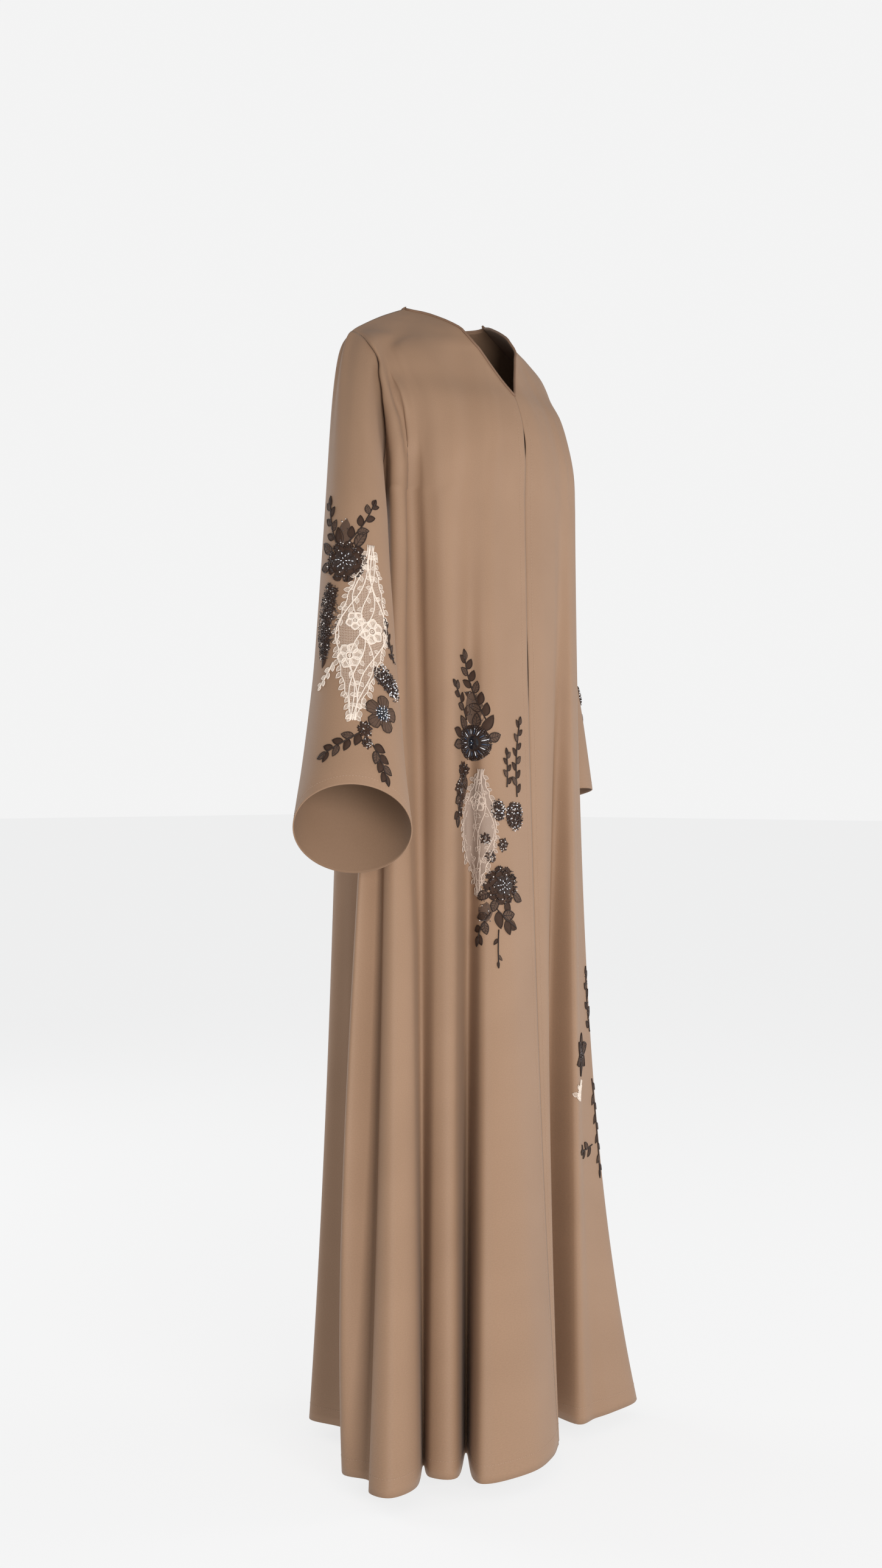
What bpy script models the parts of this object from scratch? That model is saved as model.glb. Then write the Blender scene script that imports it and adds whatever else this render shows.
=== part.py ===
"""An open-front abaya with set-in sleeves, in metres.

The frame is the wearer's: the front faces -Y, the wearer's left is +X and +Z is
up. The origin lies midway between the two neck points, at shoulder height.
A "turn" is a plan angle in degrees, from the centre front (0) round by the
wearer's right (90), the centre back (180) and the left (270) to the front again.
Cloth is worked out as an outer surface, and its wall is that surface extruded
inward. Places across the body count the rows of the fold table.
"""

import math
from collections import namedtuple

import bmesh
import bpy
from mathutils import Vector
from mathutils.bvhtree import BVHTree

# Driving dimensions, in metres
GARMENT_LENGTH = 1.41
UNDERARM_DROP = 0.245
SHOULDER_DROP = 0.042
FRONT_NECK_DROP = 0.115
BACK_NECK_DROP = 0.012
CLOTH = 0.0014
SEAM_GAP = 0.0003
SEAM_ALLOWANCE = SEAM_GAP * 0.6
BINDING_WIDTH = 0.0035
APPLIQUE = 0.0009
APPLIQUE_CLEARANCE = 0.0007
FACET_SEARCH = 0.01
LEAF_WAIST = 0.45
LEAF_TAPER = 0.3
TIP_LEAF = 0.8
FIRST_LEAF = 0.4
STEM_WIDTH = 0.0026
FLOWER_RELIEF = 0.004

# How finely the cloth is sampled
STEPS_PER_FOLD = 2
YOKE_STEPS = 10
PROBE = 0.1
V_NECK_STEP = 6
EDGE_PROBES = (0.25, 0.5, 0.75)
FACE_PROBES = ((0.34, 0.33, 0.33), (0.6, 0.2, 0.2), (0.2, 0.6, 0.2), (0.2, 0.2, 0.6))
LEAF_ANGLE = math.radians(40.0)
STEPS_PER_PETAL = 3
FLOWER_RINGS = 2
PATCH_COLUMNS = 4
SKIRT_SHARES = (0.0, 0.06, 0.14, 0.24, 0.35, 0.46, 0.57, 0.68, 0.78, 0.87, 0.94, 1.0)

CLOTH_COLOUR = (0.150, 0.095, 0.070, 1.0)
BINDING_COLOUR = (0.090, 0.056, 0.042, 1.0)
EMBROIDERY_COLOUR = (0.020, 0.012, 0.010, 1.0)
LACE_COLOUR = (0.560, 0.440, 0.350, 1.0)
CLOTH_ROUGHNESS = 0.55
THREAD_ROUGHNESS = 0.6
LACE_ROUGHNESS = 0.7

# The worn form from the neck points to the underarms: level superellipses.
Section = namedtuple("Section", "height half_width front_depth back_depth centre squareness")
FORM = [
    Section(0.000, 0.074, 0.050, 0.024, 0.040, 1.0),
    Section(-0.006, 0.090, 0.072, 0.033, 0.044, 1.0),
    Section(-0.015, 0.112, 0.092, 0.045, 0.048, 1.0),
    Section(-0.028, 0.139, 0.110, 0.058, 0.050, 1.0),
    Section(-0.038, 0.158, 0.110, 0.066, 0.049, 1.05),
    Section(-0.051, 0.176, 0.105, 0.074, 0.0455, 1.2),
    Section(-0.062, 0.186, 0.098, 0.079, 0.040, 1.3),
    Section(-0.080, 0.181, 0.094, 0.086, 0.033, 1.5),
    Section(-0.099, 0.176, 0.096, 0.092, 0.028, 1.65),
    Section(-0.125, 0.172, 0.1035, 0.099, 0.022, 1.9),
    Section(-0.160, 0.172, 0.110, 0.105, 0.018, 2.05),
    Section(-0.200, 0.172, 0.111, 0.109, 0.016, 2.3),
    Section(-0.245, 0.172, 0.109, 0.110, 0.015, 2.4),
]

# Edges drawn on the form, for the wearer's right.
FormPoint = namedtuple("FormPoint", "turn height")
FRONT_NECKLINE = [
    FormPoint(90.0, 0.0),
    FormPoint(59.0, -0.006),
    FormPoint(44.5, -0.015),
    FormPoint(35.3, -0.028),
    FormPoint(30.6, -0.038),
    FormPoint(24.3, -0.051),
    FormPoint(19.5, -0.060),
    FormPoint(12.0, -0.080),
    FormPoint(5.8, -0.099),
    FormPoint(0.0, -FRONT_NECK_DROP),
]
FRONT_ARMHOLE = [
    FormPoint(90.0, -SHOULDER_DROP),
    FormPoint(77.0, -0.045),
    FormPoint(68.0, -0.060),
    FormPoint(67.0, -0.082),
    FormPoint(71.0, -0.106),
    FormPoint(74.5, -0.135),
    FormPoint(75.5, -0.165),
    FormPoint(78.0, -0.202),
    FormPoint(83.0, -0.234),
    FormPoint(90.0, -UNDERARM_DROP),
]
BACK_ARMHOLE = [
    FormPoint(90.0, -SHOULDER_DROP),
    FormPoint(101.0, -0.047),
    FormPoint(108.0, -0.068),
    FormPoint(110.0, -0.098),
    FormPoint(110.0, -0.130),
    FormPoint(110.0, -0.165),
    FormPoint(107.0, -0.205),
    FormPoint(99.0, -0.236),
    FormPoint(90.0, -UNDERARM_DROP),
]

# Crests and troughs, each from the underarm level to the hem.
# "flare" is the share of its way out that a fold leaves to its lower part.
EARLY_GROWTH = 1.25
LATE_GROWTH = 4
BULGE_FLATNESS = 8
YOKE_FADE = 1.5
Fold = namedtuple("Fold", "name turn bulge hem_turn hem_radius flare")
FOLDS = [
    Fold("right front edge", 0.0, 0.000, 1.0, 0.150, 0.25),
    Fold("right panel", 6.0, 0.000, 15.0, 0.182, 0.25),
    Fold("right panel, middle", 11.0, 0.000, 28.0, 0.218, 0.25),
    Fold("right panel corner", 15.5, 0.001, 42.5, 0.249, 0.25),
    Fold("right panel turn", 20.5, 0.000, 47.4, 0.232, 0.25),
    Fold("hip trough", 28.5, -0.004, 50.0, 0.135, 0.10),
    Fold("narrow fold, front half", 38.5, 0.002, 52.0, 0.228, 0.20),
    Fold("narrow fold, back half", 45.5, 0.002, 60.2, 0.230, 0.20),
    Fold("side trough", 57.0, -0.004, 65.0, 0.192, 0.20),
    Fold("side fold edge", 62.5, 0.005, 61.6, 0.268, 0.20),
    Fold("side fold", 68.5, 0.013, 65.0, 0.312, 0.20),
    Fold("side fold, middle", 73.0, 0.010, 70.5, 0.305, 0.20),
    Fold("side crease", 77.0, 0.003, 74.5, 0.266, 0.20),
    Fold("side fold, back half", 81.0, 0.003, 83.0, 0.262, -0.80),
    Fold("side fold return", 86.0, 0.000, 90.5, 0.215, -0.80),
    Fold("right side seam", 90.0, 0.000, 105.0, 0.140, 0.20),
    Fold("back fold 1 front", 101.0, 0.000, 127.0, 0.165, 0.20),
    Fold("back fold 1", 111.0, 0.000, 138.0, 0.202, 0.20),
    Fold("back fold 1 return", 121.0, 0.000, 150.0, 0.195, 0.20),
    Fold("back trough 1", 132.0, 0.000, 157.0, 0.148, 0.20),
    Fold("back fold 2", 144.0, 0.000, 166.5, 0.214, 0.20),
    Fold("back trough 2", 158.0, 0.000, 176.0, 0.152, 0.20),
    Fold("back fold 3", 172.0, 0.000, 186.0, 0.218, 0.20),
    Fold("back trough 3", 187.0, 0.000, 197.5, 0.150, 0.20),
    Fold("back fold 4", 202.0, 0.000, 209.0, 0.212, 0.20),
    Fold("back trough 4", 216.0, 0.000, 221.0, 0.152, 0.20),
    Fold("back fold 5", 230.0, 0.000, 233.0, 0.217, 0.20),
    Fold("back trough 5", 244.0, 0.000, 244.5, 0.154, 0.20),
    Fold("back fold 6", 258.0, 0.000, 256.0, 0.220, 0.20),
    Fold("left side seam", 270.0, 0.000, 263.5, 0.188, 0.20),
    Fold("left side trough", 275.0, 0.000, 270.5, 0.148, 0.20),
    Fold("left side fold", 280.0, 0.000, 279.0, 0.226, 0.40),
    Fold("left side trough, front", 286.0, 0.000, 285.5, 0.168, 0.50),
    Fold("left fold, back half", 293.0, 0.001, 291.0, 0.240, 0.60),
    Fold("left fold", 301.0, 0.003, 299.0, 0.232, 0.62),
    Fold("left fold, front half", 310.0, 0.003, 309.0, 0.188, 0.62),
    Fold("left fold corner", 318.0, 0.003, 316.5, 0.162, 0.50),
    Fold("left fold turn", 325.0, 0.000, 327.0, 0.140, -0.20),
    Fold("left trough", 333.0, -0.004, 303.0, 0.102, -0.80),
    Fold("left trough, front half", 342.0, -0.002, 340.0, 0.096, 0.20),
    Fold("left front strip", 352.0, 0.001, 353.0, 0.134, 0.25),
    Fold("left front edge", 360.0, 0.000, 360.0, 0.146, 0.25),
]
FOLD_NAMES = [fold.name for fold in FOLDS]
RIGHT_SEAM = FOLD_NAMES.index("right side seam")
LEFT_SEAM = FOLD_NAMES.index("left side seam")
LAST_FOLD = len(FOLDS) - 1
BACK_NECK_PLACES = (FOLD_NAMES.index("back fold 2"), FOLD_NAMES.index("back trough 4"))

# Sleeve sections: "reach" and "side" place the centre in plan, along the
# direction of the arm's swing and square to it; "lift" tips the ring up there.
Ring = namedtuple("Ring", "height reach side half_deep half_wide lift")
RIGHT_ARM_SWING = 48.0
RIGHT_RINGS = [
    Ring(-0.285, 0.184, 0.1360, 0.047, 0.0375, 0.05),
    Ring(-0.340, 0.195, 0.1360, 0.049, 0.0405, 0.10),
    Ring(-0.400, 0.206, 0.1355, 0.052, 0.0445, 0.15),
    Ring(-0.470, 0.226, 0.1350, 0.053, 0.0490, 0.25),
    Ring(-0.530, 0.245, 0.1350, 0.053, 0.0545, 0.42),
    Ring(-0.585, 0.262, 0.1355, 0.053, 0.0600, 0.65),
    Ring(-0.625, 0.275, 0.1358, 0.0525, 0.0650, 0.86),
    Ring(-0.652, 0.282, 0.1360, 0.052, 0.0685, 1.00),
]
LEFT_ARM_SWING = 0.0
LEFT_RINGS = [
    Ring(-0.285, -0.066, 0.2215, 0.043, 0.0390, 0.00),
    Ring(-0.340, -0.075, 0.2260, 0.047, 0.0400, 0.00),
    Ring(-0.400, -0.082, 0.2310, 0.055, 0.0435, 0.02),
    Ring(-0.460, -0.086, 0.2395, 0.062, 0.0465, 0.05),
    Ring(-0.520, -0.089, 0.2480, 0.069, 0.0510, 0.09),
    Ring(-0.575, -0.092, 0.2545, 0.075, 0.0560, 0.14),
    Ring(-0.620, -0.095, 0.2600, 0.080, 0.0600, 0.18),
]
CAP_SHARES = (0.0, 0.12, 0.30, 0.55, 0.80)
CAP_ROUNDING = 0.30
CAP_LEAVES = (0.85, 0.0, -0.5)
ARM_CENTRE_Y = 0.02
ARMHOLE_LEAN = 0.7
SLEEVES = [
    ("sleeve_right", -1, RIGHT_ARM_SWING, RIGHT_RINGS),
    ("sleeve_left", 1, LEFT_ARM_SWING, LEFT_RINGS),
]

# The applique is laid out on the cloth: "across" runs over the cloth from a line
# down it (a line of the sleeve, toward the body; the front edge of a
# front, toward the side) and the height is read along that line. Rows for "both
# sleeves" are sewn on each sleeve, one the mirror image of the other.
# A sleeve's line lies that many degrees outward from the front.
SPRAY_TURNS = {"sleeve_right": 48.0, "sleeve_left": 90.0}
BOTH_SLEEVES = "both sleeves"
RIGHT_FRONT = "front_right"
LEFT_FRONT = "front_left"

# Leafy sprays: "bow" is the stem's rise as a share of its length, "slim" is a
# leaf's length over its width.
Spray = namedtuple("Spray", "name piece foot tip bow leaves leaf slim colour")
SPRAYS = [
    Spray("top_sprig", BOTH_SLEEVES, (-0.022, -0.318), (-0.034, -0.262), 0.06, 5, 0.013, 2.2, "dark"),
    Spray("crown_sprig", BOTH_SLEEVES, (-0.006, -0.319), (0.028, -0.262), -0.06, 6, 0.013, 2.2, "dark"),
    Spray("beaded_spray", BOTH_SLEEVES, (-0.029, -0.372), (-0.038, -0.450), -0.04, 10, 0.012, 1.8, "dark"),
    Spray("lace_sprig", BOTH_SLEEVES, (-0.024, -0.459), (-0.047, -0.486), 0.05, 6, 0.007, 2.0, "lace"),
    Spray("side_stem", BOTH_SLEEVES, (0.060, -0.452), (0.042, -0.406), 0.04, 6, 0.009, 3.0, "dark"),
    Spray("cuff_branch", BOTH_SLEEVES, (0.012, -0.540), (-0.041, -0.563), 0.05, 7, 0.013, 2.3, "dark"),
    Spray("cuff_spray", BOTH_SLEEVES, (0.024, -0.552), (0.046, -0.592), 0.05, 6, 0.013, 2.0, "dark"),
    Spray("tall_spray", RIGHT_FRONT, (0.082, -0.522), (0.106, -0.436), -0.05, 10, 0.015, 2.3, "dark"),
    Spray("side_sprig", RIGHT_FRONT, (0.108, -0.522), (0.134, -0.474), 0.05, 5, 0.012, 1.9, "dark"),
    Spray("drop_spray", RIGHT_FRONT, (0.112, -0.576), (0.146, -0.652), 0.04, 7, 0.015, 1.9, "dark"),
    Spray("edge_spray", RIGHT_FRONT, (0.034, -0.616), (0.020, -0.517), -0.05, 10, 0.012, 2.4, "dark"),
    Spray("inner_sprig", RIGHT_FRONT, (0.054, -0.604), (0.052, -0.556), 0.03, 5, 0.010, 2.3, "dark"),
    Spray("flower_leaves", RIGHT_FRONT, (0.084, -0.750), (0.050, -0.775), 0.04, 3, 0.019, 2.0, "dark"),
    Spray("low_branch", RIGHT_FRONT, (0.092, -0.755), (0.116, -0.796), 0.05, 4, 0.014, 2.2, "dark"),
    Spray("tail_stem", RIGHT_FRONT, (0.082, -0.776), (0.086, -0.822), 0.02, 2, 0.009, 3.0, "dark"),
    Spray("high_sprig", LEFT_FRONT, (0.225, -0.924), (0.207, -0.838), 0.04, 6, 0.013, 2.2, "dark"),
    Spray("long_stem", LEFT_FRONT, (0.232, -0.985), (0.256, -1.115), 0.03, 9, 0.013, 2.4, "dark"),
    Spray("low_spray", LEFT_FRONT, (0.232, -1.069), (0.178, -1.070), 0.04, 4, 0.014, 2.3, "dark"),
]

# Petalled flowers and knobbly bead clusters: half sizes, a tilt in degrees, and
# how deep the notches between petals are as a share of the size.
Flower = namedtuple("Flower", "name piece across height wide tall tilt petals notch")
FLOWERS = [
    Flower("large_flower", BOTH_SLEEVES, -0.011, -0.345, 0.0210, 0.0210, 0.0, 8, 0.14),
    Flower("bead_cluster", BOTH_SLEEVES, 0.046, -0.480, 0.0200, 0.0105, -27.0, 7, 0.12),
    Flower("small_flower", BOTH_SLEEVES, 0.036, -0.516, 0.0180, 0.0180, 12.0, 5, 0.28),
    Flower("ring_flower", RIGHT_FRONT, 0.101, -0.550, 0.0190, 0.0190, 0.0, 9, 0.12),
    Flower("bead_cluster", RIGHT_FRONT, 0.041, -0.641, 0.0140, 0.0160, 0.0, 6, 0.16),
    Flower("bead_knot", RIGHT_FRONT, 0.071, -0.634, 0.0095, 0.0110, 0.0, 5, 0.16),
    Flower("low_flower", RIGHT_FRONT, 0.072, -0.723, 0.0205, 0.0205, 0.0, 8, 0.14),
    Flower("leaf_cluster", LEFT_FRONT, 0.191, -0.948, 0.0210, 0.0260, 0.0, 6, 0.26),
]

# Lace patches, each a plain long leaf from its top to its foot: "bow" is how far
# its middle line swings toward the far side, and "wide" its greatest width.
Patch = namedtuple("Patch", "name piece top foot bow wide")
PATCHES = [
    Patch("lace", BOTH_SLEEVES, (0.020, -0.322), (0.000, -0.528), 0.000, 0.046),
    Patch("lace", RIGHT_FRONT, (0.088, -0.582), (0.103, -0.730), 0.004, 0.028),
    Patch("lace", LEFT_FRONT, (0.186, -0.980), (0.168, -1.002), 0.000, 0.012),
]
PATCH_STEPS = 11
PATCH_ENDS = 0.12
PATCH_TAPER = 1.5
PatchRow = namedtuple("PatchRow", "height near far")


def clear_scene():
    """Start from an empty scene."""
    for thing in list(bpy.data.objects):
        bpy.data.objects.remove(thing)


def new_material(name, colour, roughness):
    """One plain Principled material."""
    material = bpy.data.materials.new(name)
    material.use_nodes = True
    shader = material.node_tree.nodes["Principled BSDF"]
    shader.inputs["Base Color"].default_value = colour
    shader.inputs["Roughness"].default_value = roughness
    shader.inputs["Metallic"].default_value = 0.0
    return material


def through(value_at, count, place):
    """A smooth curve through count values, one for each whole place."""
    first = min(max(int(math.floor(place)), 0), count - 2)
    part = place - first
    start, end = value_at(first), value_at(first + 1)
    before = value_at(first - 1) if first > 0 else start * 2 - end
    after = value_at(first + 2) if first + 2 < count else end * 2 - start
    start_slope = (end - before) * 0.5
    end_slope = (after - start) * 0.5
    return (
        start * (2 * part**3 - 3 * part**2 + 1)
        + start_slope * (part**3 - 2 * part**2 + part)
        + end * (3 * part**2 - 2 * part**3)
        + end_slope * (part**3 - part**2)
    )


def patch_rows(patch):
    """The near and far edges of a leaf-shaped patch at even steps down it."""
    rows = []
    for step in range(PATCH_STEPS + 1):
        share = step / PATCH_STEPS
        swell = math.sin(math.pi * share) ** PATCH_TAPER
        half = patch.wide * 0.5 * (PATCH_ENDS + (1 - PATCH_ENDS) * swell)
        middle = patch.top[0] + (patch.foot[0] - patch.top[0]) * share
        middle += patch.bow * 4 * share * (1 - share)
        height = patch.top[1] + (patch.foot[1] - patch.top[1]) * share
        rows.append(PatchRow(height, middle - half, middle + half))
    return rows


def section_at(height):
    """The form's level section at a height, read smoothly from its table."""
    heights = [section.height for section in FORM]
    row = 0
    while row < len(heights) - 2 and height < heights[row + 1]:
        row += 1
    part = (height - heights[row]) / (heights[row + 1] - heights[row])

    def slope(index, column):
        below = min(index + 1, len(FORM) - 1)
        above = max(index - 1, 0)
        rise = FORM[below][column] - FORM[above][column]
        return rise / (heights[below] - heights[above])

    span = heights[row + 1] - heights[row]
    values = [height]
    for column in range(1, len(Section._fields)):
        values.append(
            FORM[row][column] * (2 * part**3 - 3 * part**2 + 1)
            + slope(row, column) * span * (part**3 - 2 * part**2 + part)
            + FORM[row + 1][column] * (3 * part**2 - 2 * part**3)
            + slope(row + 1, column) * span * (part**3 - part**2)
        )
    return Section(*values)


def plan_direction(turn):
    """The level unit vector that points out from the body at a turn."""
    angle = math.radians(turn)
    return Vector((-math.sin(angle), -math.cos(angle), 0.0))


def form_point(turn, height, bulge=0.0):
    """A point of the worn form, moved out by a bulge."""
    section = section_at(height)
    angle = math.radians(turn)
    power = 2.0 / section.squareness
    across = math.copysign(abs(math.sin(angle)) ** power, math.sin(angle))
    along = math.copysign(abs(math.cos(angle)) ** power, math.cos(angle))
    depth = section.front_depth if along > 0 else section.back_depth
    point = Vector((-section.half_width * across, section.centre - depth * along, height))
    return point + plan_direction(turn) * bulge


def fold_point(index, height):
    """Where one crest or trough lies at a height below the underarm."""
    fold = FOLDS[index]
    top = form_point(fold.turn, -UNDERARM_DROP, fold.bulge)
    hem = plan_direction(fold.hem_turn) * fold.hem_radius
    share = (-UNDERARM_DROP - height) / (GARMENT_LENGTH - UNDERARM_DROP)
    growth = (1 - fold.flare) * share**EARLY_GROWTH + fold.flare * share**LATE_GROWTH
    point = top.lerp(hem, growth)
    point.z = height
    return point


def skirt_point(place, height):
    """A point of the body below the underarms."""
    return through(lambda index: fold_point(index, height), len(FOLDS), place)


def turn_at(place):
    """The turn at the underarm level of a place between folds."""
    return through(lambda index: FOLDS[index].turn, len(FOLDS), place)


def yoke_bulge(turn, across, share):
    """How far the cloth above the underarms bulges, dying out at its edges."""
    for fold, after in zip(FOLDS, FOLDS[1:]):
        if fold.turn <= turn <= after.turn:
            part = (turn - fold.turn) / (after.turn - fold.turn)
            part = part * part * (3 - 2 * part)
            bulge = fold.bulge * (1 - part) + after.bulge * part
            return bulge * (1 - abs(2 * across - 1) ** BULGE_FLATNESS) * share * (2 - share)
    return 0.0


def on_edge(edge, share):
    """The turn and height at a share of the way along an edge of the form."""
    place = share * (len(edge) - 1)
    turn = through(lambda index: edge[index].turn, len(edge), place)
    height = through(lambda index: edge[index].height, len(edge), place)
    return turn, height


def front_edge(step):
    """Turn and height down the neckline and then the front edge."""
    if step <= V_NECK_STEP:
        return on_edge(FRONT_NECKLINE, step / V_NECK_STEP)
    share = (step - V_NECK_STEP) / (YOKE_STEPS - V_NECK_STEP)
    return 0.0, -FRONT_NECK_DROP - share * (UNDERARM_DROP - FRONT_NECK_DROP)


def front_yoke(place, step):
    """A point of a front above the underarms; the left one mirrors the right."""
    turn_below = turn_at(place)
    across = min(turn_below, 360.0 - turn_below) / 90.0
    inner_turn, inner_height = front_edge(step)
    outer_turn, outer_height = on_edge(FRONT_ARMHOLE, step / YOKE_STEPS)
    turn = inner_turn + (outer_turn - inner_turn) * across
    height = inner_height + (outer_height - inner_height) * across
    if turn_below > 180.0:
        turn = 360.0 - turn
    return form_point(turn, height, yoke_bulge(turn, across, step / YOKE_STEPS))


def back_top(across):
    """Turn and height along the back's top: seam, neckline, seam."""
    neck_start = (FOLDS[BACK_NECK_PLACES[0]].turn - 90.0) / 180.0
    if across <= neck_start:
        return 90.0, -SHOULDER_DROP * (1 - across / neck_start)
    if across >= 1 - neck_start:
        return 270.0, -SHOULDER_DROP * (1 - (1 - across) / neck_start)
    share = (across - neck_start) / (1 - 2 * neck_start)
    return 90.0 + 180.0 * share, -BACK_NECK_DROP * math.sin(math.pi * share)


def back_yoke(place, step):
    """A point of the back above the underarms."""
    across = (turn_at(place) - 90.0) / 180.0
    share = step / YOKE_STEPS
    side_turn, side_height = on_edge(BACK_ARMHOLE, share)
    top_turn, top_height = back_top(across)
    fade = 1 - share * (YOKE_FADE - (YOKE_FADE - 1) * share**2)
    turn = side_turn + (360.0 - 2 * side_turn) * across
    turn += fade * (top_turn - 90.0 - 180.0 * across)
    height = side_height + fade * (top_height + SHOULDER_DROP)
    return form_point(turn, height, yoke_bulge(turn, across, share))


def body_point(panel, place, step):
    """A point of the body: yoke steps first, then one step for each skirt share."""
    if step >= YOKE_STEPS:
        row = step - YOKE_STEPS
        first = min(int(row), len(SKIRT_SHARES) - 2)
        part = row - first
        share = SKIRT_SHARES[first] * (1 - part) + SKIRT_SHARES[first + 1] * part
        height = -UNDERARM_DROP - share * (GARMENT_LENGTH - UNDERARM_DROP)
        return skirt_point(place, height)
    if panel == "back":
        return back_yoke(place, step)
    return front_yoke(place, step)


PANEL_ENDS = {
    "front_right": (0, RIGHT_SEAM),
    "back": (RIGHT_SEAM, LEFT_SEAM),
    "front_left": (LEFT_SEAM, LAST_FOLD),
}
LAST_STEP = YOKE_STEPS + len(SKIRT_SHARES) - 1


def body_normal(panel, place, step):
    """The outward normal of the body's surface."""
    first, last = PANEL_ENDS[panel]
    if step < YOKE_STEPS:
        left, right = max(place - PROBE, first), min(place + PROBE, last)
    else:
        left, right = max(place - PROBE, 0), min(place + PROBE, LAST_FOLD)
    upper, lower = max(step - PROBE, 0), min(step + PROBE, LAST_STEP)
    across = body_point(panel, right, step) - body_point(panel, left, step)
    down = body_point(panel, place, lower) - body_point(panel, place, upper)
    return across.cross(down).normalized()


def armhole_normal(point):
    """The direction of the cloth's thickness all round an armhole."""
    middle = (SHOULDER_DROP + UNDERARM_DROP) / 2
    radial = Vector((0.0, point.y - ARM_CENTRE_Y, point.z + middle)).normalized()
    return (radial + Vector((math.copysign(ARMHOLE_LEAN, point.x), 0, 0))).normalized()


def shoulder_normal(side):
    """The direction of the cloth's thickness along a shoulder seam."""
    neck = form_point(90.0, 0.0)
    tip = form_point(90.0, -SHOULDER_DROP)
    along = (tip - neck).normalized()
    upright = Vector((0, 0, 1)) - along * along.z
    return Vector((upright.x * -side, upright.y, upright.z)).normalized()


def panel_grid(panel):
    """Outer points and thickness directions of a body panel, by column and step."""
    first, last = PANEL_ENDS[panel]
    columns = (last - first) * STEPS_PER_FOLD
    outer, normals = {}, {}
    for column in range(columns + 1):
        place = first + column / STEPS_PER_FOLD
        for step in range(LAST_STEP + 1):
            outer[column, step] = body_point(panel, place, step)
            normals[column, step] = body_normal(panel, place, step)
    mark_seams(panel, columns, outer, normals)
    return columns, outer, normals


def mark_seams(panel, columns, outer, normals):
    """Give seams a shared thickness direction, and half of the gap each."""
    armholes = {"front_right": (columns,), "front_left": (0,), "back": (0, columns)}[panel]
    shoulder = range(columns + 1)
    if panel == "back":
        neck = [(place - RIGHT_SEAM) * STEPS_PER_FOLD for place in BACK_NECK_PLACES]
        shoulder = [column for column in shoulder if column <= neck[0] or column >= neck[1]]
    for column in shoulder:
        normals[column, 0] = shoulder_normal(1 if outer[column, 0].x < 0 else -1)
    for column in armholes:
        for step in range(YOKE_STEPS + 1):
            normals[column, step] = armhole_normal(outer[column, step])
    moves = {}
    for column in shoulder:
        toward = outer[column, 1] - outer[column, 0]
        moves[column, 0] = toward.normalized() * SEAM_ALLOWANCE
    for column in (0, columns):
        beside = 1 if column == 0 else columns - 1
        top = YOKE_STEPS if column in armholes else V_NECK_STEP
        for step in range(top, LAST_STEP + 1):
            toward = (outer[beside, step] - outer[column, step]).normalized()
            moves[column, step] = moves.get((column, step), Vector()) + toward * SEAM_ALLOWANCE
    for key, move in moves.items():
        outer[key] = outer[key] + move


def cloth_wall(name, columns, steps, outer, normals, material, closed=False):
    """A wall of cloth: a grid laid on the outer points and extruded inward."""
    grid = bmesh.new()
    bmesh.ops.create_grid(grid, x_segments=columns, y_segments=steps, size=0.5)
    inner = {}
    for vertex in grid.verts:
        column = round((vertex.co.x + 0.5) * columns)
        step = round((0.5 - vertex.co.y) * steps)
        vertex.co = outer[column, step]
        inner[tuple(vertex.co)] = outer[column, step] - normals[column, step] * CLOTH
    if closed:
        bmesh.ops.remove_doubles(grid, verts=grid.verts[:], dist=1e-7)
    wall = bmesh.ops.extrude_face_region(grid, geom=grid.faces[:])
    for item in wall["geom"]:
        if isinstance(item, bmesh.types.BMVert):
            item.co = inner[tuple(item.co)]
    bmesh.ops.recalc_face_normals(grid, faces=grid.faces[:])
    bmesh.ops.triangulate(grid, faces=grid.faces[:])
    return finish_piece(name, grid, material)


def finish_piece(name, grid, material):
    """Turn a bmesh into a named, smooth-shaded object of the garment."""
    mesh = bpy.data.meshes.new(name)
    grid.to_mesh(mesh)
    grid.free()
    mesh.shade_smooth()
    mesh.set_sharp_from_angle(angle=math.radians(50))
    mesh.materials.append(material)
    piece = bpy.data.objects.new(name, mesh)
    GARMENT.objects.link(piece)
    return piece


def make_body(material):
    """The right front, the back and the left front."""
    for panel in PANEL_ENDS:
        columns, outer, normals = panel_grid(panel)
        cloth_wall(panel, columns, LAST_STEP, outer, normals, material)


def armhole_ring(side):
    """Points round an armhole, from the shoulder by the front and back again."""
    ring = []
    for step in range(2 * YOKE_STEPS + 1):
        edge, share = FRONT_ARMHOLE, step / YOKE_STEPS
        if step > YOKE_STEPS:
            edge, share = BACK_ARMHOLE, 2 - step / YOKE_STEPS
        point = form_point(*on_edge(edge, share))
        point.x *= -side
        ring.append(point)
    return ring


def sleeve_ring_point(side, swing, ring, step):
    """A point of one sleeve section; steps run as in the armhole ring."""
    angle = math.radians(swing)
    forward = Vector((side * math.sin(angle), -math.cos(angle), 0.0))
    outward = Vector((side * math.cos(angle), math.sin(angle), 0.0))
    around = math.pi / 2 - angle - math.pi * step / YOKE_STEPS
    point = forward * (ring.reach + ring.half_deep * math.cos(around))
    point += outward * (ring.side + ring.half_wide * math.sin(around))
    point.z = ring.height + ring.lift * ring.half_deep * math.cos(around)
    return point


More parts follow.
